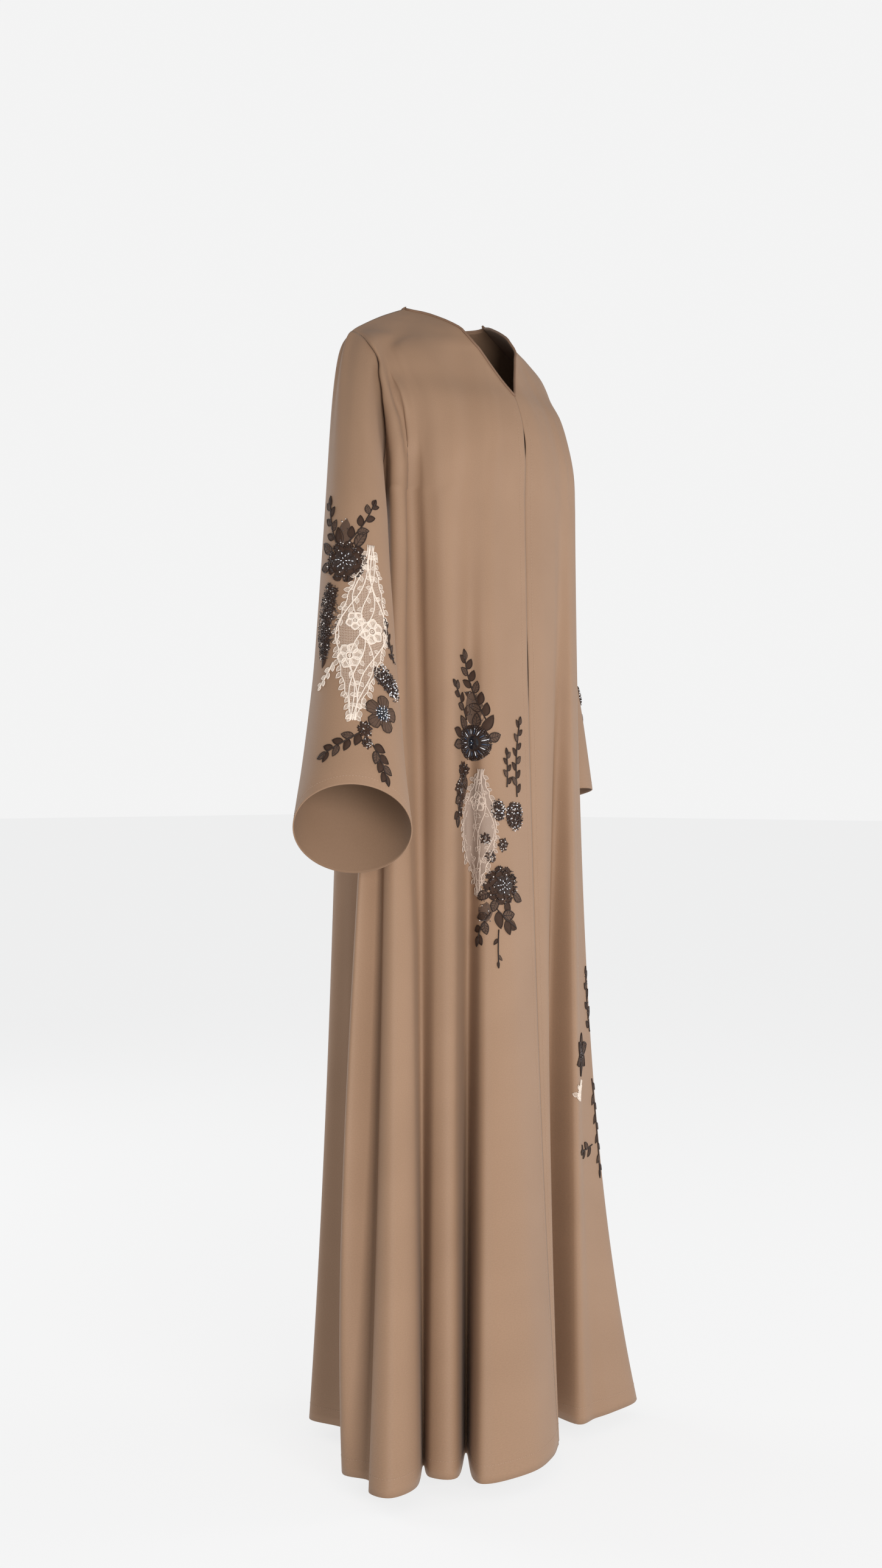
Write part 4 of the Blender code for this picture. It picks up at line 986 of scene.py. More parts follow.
class Maker:
    """Builds materials from the shared groups."""

    def __init__(self):
        self.groups = {
            "weave": make_weave_group(),
            "mottle": make_mottle_group(),
            "satin": make_satin_group(),
            "net": make_net_group(),
        }

    def use(self, tree, group, place, **values):
        """A shared group placed in a material."""
        node = tree.nodes.new("ShaderNodeGroup")
        node.node_tree = self.groups[group]
        tree.links.new(place, node.inputs["Place"])
        for label, value in values.items():
            node.inputs[label].default_value = value
        return node

    def place(self, tree, kind="UV"):
        """Where a pattern is read: the piece's own UVs, or its Object coordinates."""
        return tree.nodes.new("ShaderNodeTexCoord").outputs[kind]

    def colour(self, tree, shader, place, dark, light, **scales):
        """Mottled colour from a dark to a light one into the shader."""
        node = self.use(tree, "mottle", place, Dark=(*dark, 1.0), Light=(*light, 1.0), **scales)
        tree.links.new(node.outputs["Color"], shader.inputs["Base Color"])

    def bump(self, tree, shader, height, depth):
        """A bump of that depth in metres into the shader's normal."""
        node = tree.nodes.new("ShaderNodeBump")
        node.inputs["Distance"].default_value = depth
        node.inputs["Strength"].default_value = 1.0
        tree.links.new(height, node.inputs["Height"])
        tree.links.new(node.outputs["Normal"], shader.inputs["Normal"])

    def cloth(self, name, dark, light, roughness, depth, **sockets):
        """Woven cloth whose weave follows its UVs in metres."""
        material, tree, shader = plain_material(name, roughness, **sockets)
        place = self.place(tree)
        self.colour(tree, shader, place, dark, light)
        weave = self.use(tree, "weave", place)
        self.bump(tree, shader, weave.outputs["Height"], depth)
        return material

    def thread(self, name, dark, light, roughness, depth, threads, slant, **sockets):
        """Thread laid side by side, for satin leaves, cords and bindings."""
        material, tree, shader = plain_material(name, roughness, **sockets)
        place = self.place(tree)
        satin = self.use(tree, "satin", place, Threads=threads, Slant=slant)
        self.colour(tree, shader, place, dark, light, Broad=160.0, Fine=2200.0)
        self.bump(tree, shader, satin.outputs["Height"], depth)
        return material

    def net(self, name, dark, light, meshes, thread, **sockets):
        """Fine net with open holes."""
        material, tree, shader = plain_material(name, 0.7, **sockets)
        place = self.place(tree)
        self.colour(tree, shader, place, dark, light)
        net = self.use(tree, "net", place, Meshes=meshes, Thread=thread)
        tree.links.new(net.outputs["Mask"], shader.inputs["Alpha"])
        material.surface_render_method = "DITHERED"
        return material

    def bead(self, name, dark, light, roughness, **sockets):
        """Glass or metal beads, a little different from one to the next."""
        material, tree, shader = plain_material(name, roughness, **sockets)
        self.colour(tree, shader, self.place(tree, "Object"), dark, light, Broad=420.0, Fine=1500.0)
        return material


def make_materials():
    """Every finish of the garment, by a maker's name."""
    maker = Maker()
    return {
        "crepe": maker.cloth(
            "bronze crepe", (0.226, 0.134, 0.080), (0.330, 0.203, 0.127), 0.62, 0.00008,
            Sheen_Weight=0.05, Sheen_Roughness=0.45, Specular_IOR_Level=0.25,
        ),
        # The cloth's inner face: the same crepe painted darker, as painted shade inside the sleeves and
        # the body
        "crepe inside painted shade": maker.cloth(
            "bronze crepe, wrong side", (0.165, 0.096, 0.057), (0.240, 0.146, 0.090), 0.70, 0.00008,
            Sheen_Weight=0.05, Sheen_Roughness=0.45, Specular_IOR_Level=0.2,
        ),
        "binding": maker.thread(
            "neck binding", (0.15, 0.085, 0.052), (0.23, 0.135, 0.085), 0.6, 0.00005, 9000.0, 0.0,
            Specular_IOR_Level=0.25,
        ),
        "stitching": maker.thread(
            "sewing thread", (0.30, 0.19, 0.125), (0.43, 0.29, 0.20), 0.5, 0.00002, 16000.0, 0.8,
            Specular_IOR_Level=0.3,
        ),
        "embroidery": maker.thread(
            "dark satin thread", (0.022, 0.012, 0.008), (0.078, 0.042, 0.028), 0.66, 0.00012, 9000.0, 0.7,
            Specular_IOR_Level=0.12,
        ),
        "dark cord": maker.thread(
            "dark outline cord", (0.016, 0.010, 0.008), (0.045, 0.026, 0.019), 0.55, 0.00006, 9000.0, 0.5,
            Specular_IOR_Level=0.2,
        ),
        "brown tulle": maker.net(
            "brown tulle", (0.075, 0.044, 0.031), (0.13, 0.082, 0.058), 1300.0, 0.34,
            Specular_IOR_Level=0.1,
        ),
        "lace cord": maker.thread(
            "pale lace cord", (0.68, 0.57, 0.48), (0.84, 0.735, 0.64), 0.65, 0.00008, 9000.0, 0.5,
            Specular_IOR_Level=0.2,
        ),
        "lace fill": maker.net(
            "pale lace filling", (0.55, 0.43, 0.345), (0.70, 0.575, 0.48), 1500.0, 0.17,
            Specular_IOR_Level=0.1,
        ),
        "lace net": maker.net(
            "pale net", (0.55, 0.43, 0.345), (0.70, 0.575, 0.48), 540.0, 0.085,
            Specular_IOR_Level=0.1,
        ),
        "hip lace cord": maker.thread(
            "dull lace cord", (0.50, 0.385, 0.31), (0.68, 0.55, 0.46), 0.7, 0.00008, 9000.0, 0.5,
            Specular_IOR_Level=0.2,
        ),
        "hip lace fill": maker.net(
            "dull lace filling", (0.34, 0.248, 0.194), (0.48, 0.37, 0.30), 1500.0, 0.22,
            Specular_IOR_Level=0.1,
        ),
        "hip lace net": maker.net(
            "dull net", (0.25, 0.178, 0.138), (0.37, 0.278, 0.222), 950.0, 0.34,
            Specular_IOR_Level=0.1,
        ),
        "dark bead": maker.bead(
            "dark seed beads", (0.012, 0.007, 0.006), (0.050, 0.030, 0.024), 0.34, Specular_IOR_Level=0.30,
        ),
        "gunmetal": maker.bead(
            "gunmetal beads", (0.030, 0.022, 0.021), (0.120, 0.096, 0.092), 0.26, Specular_IOR_Level=0.5,
        ),
        "silver": maker.bead(
            "silver bugle beads", (0.56, 0.57, 0.61), (0.88, 0.89, 0.93), 0.20, Metallic=0.2,
        ),
        "pearl": maker.bead(
            "pearls", (0.50, 0.45, 0.42), (0.72, 0.67, 0.63), 0.24, Coat_Weight=0.5, Coat_Roughness=0.1,
        ),
        "black stone": maker.bead(
            "black stones", (0.005, 0.005, 0.007), (0.015, 0.015, 0.019), 0.10, Coat_Weight=0.5,
        ),
        "blue stone": maker.bead(
            "blue stones", (0.012, 0.020, 0.042), (0.060, 0.095, 0.165), 0.20, Specular_IOR_Level=0.5,
        ),
    }


# ---------------------------------------------------------------- needlework, made flat


def along_path(points, steps):
    """A smooth path through flat points, with steps on each stretch."""
    points = [Vector((*point, 0.0)) if len(point) == 2 else Vector(point) for point in points]
    places = [index / steps for index in range((len(points) - 1) * steps + 1)]
    return [through(lambda index: points[index], len(points), place) for place in places]


def ring_path(centre, radius, steps, rise):
    """A closed path round a centre; its last point is its first."""
    path = []
    for index in range(steps + 1):
        angle = 2 * math.pi * (index % steps) / steps
        offset = Vector((radius * math.cos(angle), radius * math.sin(angle), 0.0))
        path.append(Vector((*centre, rise)) + offset)
    return path


def run_along(path):
    """How far along a path each of its points lies."""
    reach = [0.0]
    for before, after in zip(path, path[1:]):
        reach.append(reach[-1] + (Vector(after) - Vector(before)).length)
    return reach


def raised(path, rise):
    """Flat points lifted to one height over the cloth."""
    return [(*point[:2], rise) for point in path]


def turned(flat, angle):
    """A flat vector turned by an angle."""
    return Vector(
        (
            flat[0] * math.cos(angle) - flat[1] * math.sin(angle),
            flat[0] * math.sin(angle) + flat[1] * math.cos(angle),
        )
    )


def leaf_outline(leaf, share, side):
    """A flat point on a leaf's rim, side -1 to 1 across it, at a share of its length."""
    foot, tip = Vector(leaf.foot), Vector(leaf.tip)
    along = tip - foot
    square = Vector((-along.y, along.x)).normalized()
    half = leaf.width / 2 * max(0.0, math.sin(math.pi * share**LEAF_FULLNESS)) ** LEAF_ROUNDNESS
    bend = square * along.length * LEAF_BEND * math.sin(math.pi * share)
    return foot + along * share + bend + square * half * side


def leaf_rim(leaf, steps):
    """A leaf's closed rim, up one side from its foot and down the other."""
    rim = [leaf_outline(leaf, step / steps, 1) for step in range(steps + 1)]
    return rim + [leaf_outline(leaf, 1 - step / steps, -1) for step in range(1, steps + 1)]


def petal_lobe(petals, angle):
    """How far a rim of petals reaches at an angle: 1 on a petal, 0 in a notch."""
    return abs(math.cos(petals * angle / 2)) ** 0.5


# Needlework in metres over the cloth: how high a cord lies and pale work is
# raised, how thick cords are, and how near beads may sit for their size
CORD_RISE = 0.0006
LACE_RISE = 0.0007
RIM_CORD = 0.00045
PALE_CORD = 0.00060
FURROW_SHARPNESS = 3
LOBE_MIDDLE = 0.6
SEED_GAP = 0.85
SEED_TRIES = 6
SEED_CROWN = 0.6
# Where veins leave a leaf's middle, as shares of its length, and how far on and
# aside they bend and end
VEINS = (0.22, 0.42, 0.62)
VEIN_BEND = (0.13, 0.45)
VEIN_END = (0.20, 0.85)


class FlatWork:
    """Needlework for one motif, gathered flat and laid on its cloth at the end."""

    PETAL_STEPS = 6

    def __init__(self, name, materials, beads):
        self.name = name
        self.materials = materials
        self.beads = beads
        self.finishes = []
        self.grid = bmesh.new()
        self.grid.loops.layers.uv.new("UVMap")
        self.chance = random.Random(name)

    def slot(self, finish):
        """The material slot of a finish, made when it is first asked for."""
        if finish not in self.finishes:
            self.finishes.append(finish)
        return self.finishes.index(finish)

    def take(self, mesh):
        """Take in a mesh and drop it."""
        self.grid.from_mesh(mesh)
        bpy.data.meshes.remove(mesh)

    def add(self, part, finish):
        """Take in a finished flat part."""
        slot = self.slot(finish)
        for face in part.faces:
            face.material_index = slot
        mesh = bpy.data.meshes.new("part")
        part.to_mesh(mesh)
        part.free()
        self.take(mesh)

    def fill(self, leaf, finish, dome, rim, furrow=0.0, columns=4, rows=8):
        """A leaf's filling: a dome with a furrow down its middle."""
        length = (Vector(leaf.tip) - Vector(leaf.foot)).length

        def place_at(x, y):
            side, share = 2 * x, y + 0.5
            flat = leaf_outline(leaf, share, side)
            swell = math.sin(math.pi * min(max(share, 0.0), 1.0)) ** 0.5
            rise = rim + dome * (1 - side**2) * swell
            rise -= furrow * swell * math.exp(-((side * FURROW_SHARPNESS) ** 2))
            return (flat.x, flat.y, rise), (side * leaf.width / 2, share * length)

        self.add(grid_part(columns, rows, place_at, MERGE), finish)

    def ruffle(self, flower, share, finish, petals, depth, dome, rim, crease=0.0, tilt=0.0):
        """A round filling with rounded petals at its rim and furrows between them."""

        def place_at(x, y):
            angle, away = 2 * math.pi * (x + 0.5), y + 0.5
            lobe = petal_lobe(petals, angle)
            reach = share * away * (1 - depth * away * (1 - lobe))
            flat = round_flower(flower, reach, angle + tilt)
            rise = rim + dome * (1 - away**2) + crease * (lobe - LOBE_MIDDLE) * away
            return (flat.x, flat.y, rise), flat

        self.add(grid_part(max(petals, 3) * self.PETAL_STEPS, 4, place_at, MERGE), finish)

    def rim(self, flower, share, petals, depth, rise, tilt=0.0):
        """The closed edge of a ruffle."""
        path = []
        steps = petals * self.PETAL_STEPS
        for index in range(steps + 1):
            angle = 2 * math.pi * (index % steps) / steps
            reach = share * (1 - depth * (1 - petal_lobe(petals, angle)))
            path.append(round_flower(flower, reach, angle + tilt))
        return raised(path, rise)

    def spokes(self, flower, rings):
        """Bugles that point out of a flower's heart, ring by ring."""
        for ring in rings:
            for index in range(ring.count):
                wander = self.chance.uniform(-ring.wander, ring.wander)
                angle = 2 * math.pi * (index + wander) / ring.count
                flat = round_flower(flower, ring.share, angle)
                finish = ring.finishes[index % len(ring.finishes)]
                self.bead(finish, flat, ring.rise, ring.width, ring.length, angle)

    def cord(self, path, radius, finish, around=5):
        """A cord sewn along a path; a path that ends where it starts is closed."""
        path = [Vector(point) for point in path]
        closed = (path[0] - path[-1]).length < CORD_MERGE
        if not closed:
            path = [path[0]] + path + [path[-1]]
        last = len(path) - 1
        reach = run_along(path)

        def place_at(x, y):
            turn = 2 * math.pi * (x + 0.5)
            index = min(max(round((y + 0.5) * last), 0), last)
            if closed:
                heading = path[index % last + 1] - path[(index - 1) % last]
            else:
                heading = path[min(index + 2, last)] - path[max(index - 2, 0)]
            heading = heading.normalized()
            beside = Vector((-heading.y, heading.x, 0.0)).normalized()
            size = 0.0 if not closed and index in (0, last) else radius
            offset = beside * math.cos(turn) * size + Vector((0, 0, 1)) * math.sin(turn) * size
            return path[index] + offset, ((x + 0.5) * radius * 4, reach[index])

        self.add(grid_part(around, last, place_at, CORD_MERGE), finish)

    def bead(self, finish, flat, rise, width, length=None, turn=0.0):
        """A bead, or a bugle where a length is given, sewn at a flat point."""
        mesh = self.beads.copy()
        size = Vector(((length or width) / 2, width / 2, width / 2))
        place = Matrix.Translation((flat[0], flat[1], rise)) @ Matrix.Rotation(turn, 4, "Z")
        mesh.transform(place @ Matrix.Diagonal((*size, 1.0)))
        mesh.polygons.foreach_set("material_index", [self.slot(finish)] * len(mesh.polygons))
        self.take(mesh)

    def sewn_leaf(self, leaf, base=0.0):
        """A leaf by its look: satin filling, or net with an outline and veins."""
        pale = leaf.look == "lace"
        cord = "lace cord" if pale else "dark cord"
        rim = leaf_rim(leaf, 7)
        if leaf.look == "satin":
            self.fill(leaf, "embroidery", 0.0011, base - 0.0002, 0.0005)
            self.cord(raised(rim, base + 0.0004), RIM_CORD, cord, 4)
            return
        self.fill(leaf, "lace fill" if pale else "brown tulle", 0.0004, base + CORD_RISE, 0.0, 2, 5)
        thick = leaf.width * (0.075 if pale else 0.05) + 0.00020
        self.cord(raised(rim, base + CORD_RISE), thick, cord)
        middle = [leaf_outline(leaf, step / 5, 0) for step in range(5)]
        self.cord(raised(middle, base + LACE_RISE), thick * 0.85, cord, 4)
        for share in VEINS:
            for side in (-1, 1):
                vein = [leaf_outline(leaf, share + on, side * aside)
                        for on, aside in ((0, 0), VEIN_BEND, VEIN_END)]
                self.cord(raised(vein, base + CORD_RISE), thick * 0.6, cord, 4)

    def seeds(self, path, spread, count, finishes, sizes, rise):
        """Beads crowded along a path, none nearer to another than its size allows."""
        path = [Vector(point[:2]) for point in path]
        lengths = run_along(path)
        placed = []
        for _ in range(count * SEED_TRIES):
            if len(placed) >= count:
                break
            reach = self.chance.random() * lengths[-1]
            index = max(i for i in range(len(path) - 1) if lengths[i] <= reach)
            step = max(lengths[index + 1] - lengths[index], 1e-9)
            share = (reach - lengths[index]) / step
            centre = path[index].lerp(path[index + 1], share)
            wide = spread(reach / max(lengths[-1], 1e-9))
            angle, away = self.chance.random() * 2 * math.pi, math.sqrt(self.chance.random()) * wide
            flat = centre + Vector((math.cos(angle), math.sin(angle))) * away
            size = self.chance.uniform(*sizes)
            if any((flat - spot).length < (size + wide_spot) / 2 * SEED_GAP for spot, wide_spot in placed):
                continue
            placed.append((flat, size))
            crown = rise * (1 - SEED_CROWN * (away / max(wide, 1e-9)) ** 2)
            self.bead(self.chance.choice(finishes), flat, crown, size)

    def finish(self, layout, node):
        """Lay the work on its cloth and put it in place of its node."""
        flat = np.array([vertex.co for vertex in self.grid.verts])
        for vertex, place in zip(self.grid.verts, layout.lay(flat)):
            vertex.co = place
        if layout.mirrored:
            bmesh.ops.reverse_faces(self.grid, faces=self.grid.faces[:])
        piece = new_piece(self.name, self.grid, [self.materials[finish] for finish in self.finishes])
        if node:
            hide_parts(node)
        return piece


# ---------------------------------------------------------------- flowers and clusters


def round_flower(flower, share, angle):
    """A flat point of a flower at a share of its reach, and at an angle."""
    return Vector(
        (
            flower.across + flower.wide * share * math.cos(angle),
            flower.height + flower.tall * share * math.sin(angle),
        )
    )


def petal(centre, angle, near, far, width, look):
    """A petal as a leaf that points out of a centre."""
    way = Vector((math.cos(angle), math.sin(angle)))
    centre = Vector(centre)
    return Leaf(centre + way * near, centre + way * far, width, look)


# The smallest and the largest seed bead of each kind of work
FINE_SEEDS = (0.0011, 0.0017)
BAND_SEEDS = (0.0011, 0.0018)
KNOT_SEEDS = (0.0012, 0.0018)
HEAP_SEEDS = (0.0013, 0.0022)
LEAF_SEEDS = (0.0014, 0.0022)
RING_SEEDS = (0.0014, 0.0021)
EDGE_SEEDS = (0.0015, 0.0025)
PEARLS = (0.0014, 0.0019)
# A ruffle reaches a share of its flower and is notched that deep between its
# petals; it domes over its rim's rise, with a crease on each petal
Ruffle = namedtuple(
    "Ruffle", "share finish petals depth dome rim crease tilt", defaults=(0.0, 0.0)
)
KNOBBLY_RUFFLES = [
    Ruffle(1.0, "embroidery", 9, 0.16, 0.0016, 0.0002, 0.0012),
    Ruffle(0.76, "embroidery", 8, 0.20, 0.0014, 0.0020, 0.0012, 0.4),
    Ruffle(0.52, "dark cord", 6, 0.20, 0.0012, 0.0036, 0.0010, 0.1),
]
# A knobbly flower's beaded rims, as share, petals, depth, rise and tilt; the share
# of their places that carry a bead, how far it may stray, and what is strewn
# between the rims
KNOBBLY_EDGES = ((0.98, 9, 0.16, 0.0012, 0.0), (0.75, 8, 0.20, 0.0030, 0.4))
EDGE_CROWDING = 0.75
EDGE_WANDER = 0.0007
KNOBBLY_SEEDS = 60
KNOBBLY_PEARLS = 9
PEARL_SHARES = (0.56, 0.72, 0.88)
# Rings of bugles that point out of a flower's heart
Spokes = namedtuple("Spokes", "count share rise length finishes wander width")
KNOBBLY_SPOKES = [
    Spokes(8, 0.11, 0.0054, 0.0024, ["silver", "dark bead"], 0.4, 0.0010),
    Spokes(14, 0.23, 0.0052, 0.0027, ["silver", "dark bead", "gunmetal"], 0.45, 0.0010),
    Spokes(20, 0.36, 0.0047, 0.0027, ["silver", "dark bead", "dark bead"], 0.45, 0.0010),
]
RING_SPOKES = [
    Spokes(34, 0.62, 0.0032, 0.0070, ["silver", "dark bead", "blue stone", "gunmetal"], 0.05, 0.0013),
    Spokes(17, 0.80, 0.0028, 0.0028, ["blue stone", "dark bead", "silver"], 0.1, 0.0011),
]
TULLE_SPOKES = [
    Spokes(7, 0.13, 0.0038, 0.0022, ["silver", "silver", "gunmetal"], 0.25, 0.0011),
    Spokes(13, 0.27, 0.0034, 0.0028, ["silver", "silver", "blue stone"], 0.25, 0.0011),
    Spokes(17, 0.41, 0.0028, 0.0024, ["silver", "gunmetal", "silver", "blue stone"], 0.25, 0.0011),
]
# Rings of seeds round a ring flower, as share of its reach, count and rise; the
# share of them that is dark
SEED_RINGS = ((0.97, 60, 0.0012), (0.89, 54, 0.0020), (0.81, 48, 0.0026))
DARK_SHARE = 0.8
# A sheer flower's petals, the notches between them and the threads drawn over them
TULLE_PETALS = 5
TULLE_NOTCH = 0.42
TULLE_THREADS = 25
# Small leaves under heaped beads, and how many beads: on a sleeve, and elsewhere as
# a count for none and one for each square metre
HEAP_LEAVES = 30
SLEEVE_HEAP = 210
LEAST_HEAP = 40
HEAP_CROWDING = 2.4e5
# The same for the band down a sleeve's beaded spray and for a knot
BAND_LEAVES = 64
BAND_BEADS = 460
BAND_CROWD = ["dark bead"] * 9 + ["gunmetal"] * 4 + ["pearl"]
KNOT_LEAVES = 9
KNOT_BEADS = 24


def knobbly_flower(work, flower):
    """Crowded ruffles edged with dark seeds, round a heart of bugles and dots."""
    chance = work.chance
    for ruffle in KNOBBLY_RUFFLES:
        work.ruffle(flower, *ruffle)
    for edge in KNOBBLY_EDGES:
        for x, y, z in work.rim(flower, *edge)[:-1]:
            if chance.random() < EDGE_CROWDING:
                flat = (x + chance.uniform(-1, 1) * EDGE_WANDER, y + chance.uniform(-1, 1) * EDGE_WANDER)
                work.bead("dark bead", flat, z, chance.uniform(*EDGE_SEEDS))
    for index in range(KNOBBLY_SEEDS):
        flat = round_flower(flower, chance.uniform(0.42, 0.95), chance.random() * 2 * math.pi)
        work.bead("dark bead" if index % 3 else "gunmetal", flat, 0.0034, chance.uniform(*LEAF_SEEDS))
    for index in range(KNOBBLY_PEARLS):
        angle = 2 * math.pi * (index + chance.uniform(-0.3, 0.3)) / KNOBBLY_PEARLS
        flat = round_flower(flower, PEARL_SHARES[index % len(PEARL_SHARES)], angle)
        work.bead("pearl", flat, 0.0040, chance.uniform(*PEARLS))
    work.spokes(flower, KNOBBLY_SPOKES)


def ring_flower(work, flower):
    """A scalloped dark disc with two rings of bugles round a black heart."""
    chance = work.chance
    work.ruffle(flower, 1.0, "embroidery", 13, 0.10, 0.0022, 0.0002, 0.0008)
    work.ruffle(flower, 0.80, "dark cord", 3, 0.0, 0.0010, 0.0018)
    for share, count, rise in SEED_RINGS:
        for index in range(count):
            flat = round_flower(flower, share + chance.uniform(-0.03, 0.03), 2 * math.pi * index / count)
            finish = "dark bead" if chance.random() < DARK_SHARE else "gunmetal"
            work.bead(finish, flat, rise, chance.uniform(*RING_SEEDS))
    work.spokes(flower, RING_SPOKES)
    work.ruffle(flower, 0.42, "black stone", 3, 0.0, 0.0030, 0.0020)
    for index in range(5):
        flat = round_flower(flower, 0.10 if index else 0.0, 1.6 * index)
        work.bead("silver" if index % 2 else "blue stone", flat, 0.0054, 0.0015)


def tulle_flower(work, flower):
    """Five round sheer petals with dark edges, round a heart of bugles."""
    tilt = math.radians(flower.tilt)
    for share, rim in ((1.0, 0.0004), (0.94, 0.0009)):
        work.ruffle(flower, share, "brown tulle", TULLE_PETALS, TULLE_NOTCH, 0.0010, rim, 0.0012, tilt)
    edge = work.rim(flower, 1.0, TULLE_PETALS, TULLE_NOTCH, 0.0012, tilt)
    work.cord(edge, 0.00042, "dark cord", 4)
    for index in range(TULLE_THREADS):
        angle = tilt + 2 * math.pi * (index - 2) / TULLE_THREADS
        far = 0.92 * (1 - TULLE_NOTCH * (1 - petal_lobe(TULLE_PETALS, angle - tilt)))
        ends = [round_flower(flower, share, angle) for share in (0.3, far)]
        path = [(*ends[0].lerp(ends[1], share), 0.0020 - 0.0006 * share) for share in (0.0, 0.5, 1.0)]
        work.cord(path, 0.00020, "dark cord", 4)
    work.ruffle(flower, 0.36, "black stone", 3, 0.0, 0.0012, 0.0020)
    work.spokes(flower, TULLE_SPOKES)


def bead_cluster(work, flower):
    """Silver and pearl beads heaped on dark loops."""
    tilt = math.radians(flower.tilt)
    long = Vector((math.cos(tilt), math.sin(tilt)))
    half = (flower.wide - flower.tall) if flower.wide > flower.tall else 0.0
    tall = max(flower.tall - flower.wide, 0.0)
    centre = Vector((flower.across, flower.height))
    ends = [centre - long * half - Vector((0, tall)), centre, centre + long * half + Vector((0, tall))]
    radius = min(flower.wide, flower.tall)
    if flower.piece == BOTH_SLEEVES:
        ends = [ends[0].lerp(ends[2], step / 6) for step in range(7)]
    for index in range(HEAP_LEAVES):
        spot = ends[index * len(ends) // HEAP_LEAVES]
        angle = work.chance.random() * 2 * math.pi
        leaf = petal(spot, angle, 0.0, radius * 0.95, radius * 0.80, "satin")
        work.fill(leaf, "embroidery", 0.0016, -0.0002, 0.0003, 4, 5)
    crowd = ["gunmetal", "dark bead", "pearl", "dark bead", "silver", "dark bead", "gunmetal"]
    count = int(LEAST_HEAP + HEAP_CROWDING * radius * (radius + half + tall))
    if flower.piece == BOTH_SLEEVES:
        count = SLEEVE_HEAP
    work.seeds(ends, lambda share: radius * 0.95, count, crowd,
               HEAP_SEEDS, 0.0026)


def leaf_cluster(work, flower):
    """Leaves that spread from one knot, satin and sheer by turns."""
    centre = (flower.across, flower.height)
    for index in range(flower.petals):
        angle = 2 * math.pi * (index + 0.35) / flower.petals
        look = "satin" if index % 2 else "veined"
        far = flower.tall if abs(math.sin(angle)) > 0.5 else flower.wide
        leaf = petal(centre, angle, far * 0.12, far, far * 0.52, look)
        work.sewn_leaf(leaf, 0.0004)
    work.seeds([centre, (centre[0], centre[1] + 1e-4)], lambda share: flower.wide * 0.42, 30,
               ["dark bead", "gunmetal"], LEAF_SEEDS, 0.0022)


FLOWER_MAKERS = {
    "large_flower": knobbly_flower,
    "low_flower": knobbly_flower,
    "ring_flower": ring_flower,
    "small_flower": tulle_flower,
    "bead_cluster": bead_cluster,
    "bead_knot": bead_cluster,
    "leaf_cluster": leaf_cluster,
}


def beaded_band(work, path):
    """Dense dark beads down the stem of a sleeve's spray."""
    for _ in range(BAND_LEAVES):
        spot = Vector(path[work.chance.randrange(len(path))][:2])
        angle = work.chance.random() * 2 * math.pi
        leaf = petal(spot, angle, -0.002, work.chance.uniform(0.008, 0.014), 0.0080, "satin")
        work.fill(leaf, "embroidery", 0.0014, 0.0002, 0.0004, 4, 5)

    def spread(share):
        return 0.0085 + 0.0100 * math.sin(math.pi * min(1.0, 0.15 + share * 0.8)) ** 2

    work.seeds(path, spread, BAND_BEADS, BAND_CROWD, BAND_SEEDS, 0.0024)


def veil(work, motif):
    """Sheer net with beads between a motif and the leaves round it."""
    for name, foot, tip, width in VEILS:
        if name != motif:
            continue
        leaf = Leaf(foot, tip, width, "veined")
        work.fill(leaf, "brown tulle", 0.0004, 0.0003, 0.0, 4, 6)
        work.seeds([foot, tip], lambda share: width * 0.42, 22,
                   ["gunmetal", "dark bead", "gunmetal", "pearl"], FINE_SEEDS, 0.0012)


def fan(work, flower):
    """Leaves fanned round part of a flower, veined and satin by turns."""
    for row in FANS:
        if row.motif != flower.name:
            continue
        for index in range(row.leaves):
            angle = math.radians(row.start + (row.end - row.start) * index / (row.leaves - 1))
            angle += work.chance.uniform(-0.12, 0.12)
            foot = round_flower(flower, 0.86, angle)
            reach = row.reach * work.chance.uniform(0.8, 1.15)
            tip = foot + Vector((math.cos(angle), math.sin(angle))) * reach
            work.sewn_leaf(Leaf(foot, tip, row.width, "satin" if index % 3 == 1 else "veined"), 0.0004)


def low_knot(work, centre, radius):
    """A knot of small satin leaves and dark beads where stems meet."""
    for index in range(KNOT_LEAVES):
        angle = 2 * math.pi * index / KNOT_LEAVES + work.chance.uniform(-0.2, 0.2)
        leaf = petal(centre, angle, 0.0, radius * work.chance.uniform(0.8, 1.1), radius * 0.6, "satin")
        work.fill(leaf, "embroidery", 0.0014, -0.0002, 0.0004, 4, 5)
    work.seeds([centre, (centre[0] + 1e-4, centre[1])], lambda share: radius * 0.8, KNOT_BEADS,
               ["dark bead", "gunmetal", "gunmetal", "pearl"], KNOT_SEEDS, 0.0022)


# ---------------------------------------------------------------- sprays

# How thick a stem is, how much longer and fuller leaves are worn than they are
# raised, where the first and the last one sits, how far they turn from the stem
# and how much smaller the last one is
STEM_THREAD = 0.0009
LEAF_LONGER = 1.18
LEAF_FULLER = 1.25
FIRST_LEAF = 0.6
LAST_LEAF = 0.9
LEAF_TURN = 0.72
LEAF_SHRINK = 0.25
STEM_STEPS = 8


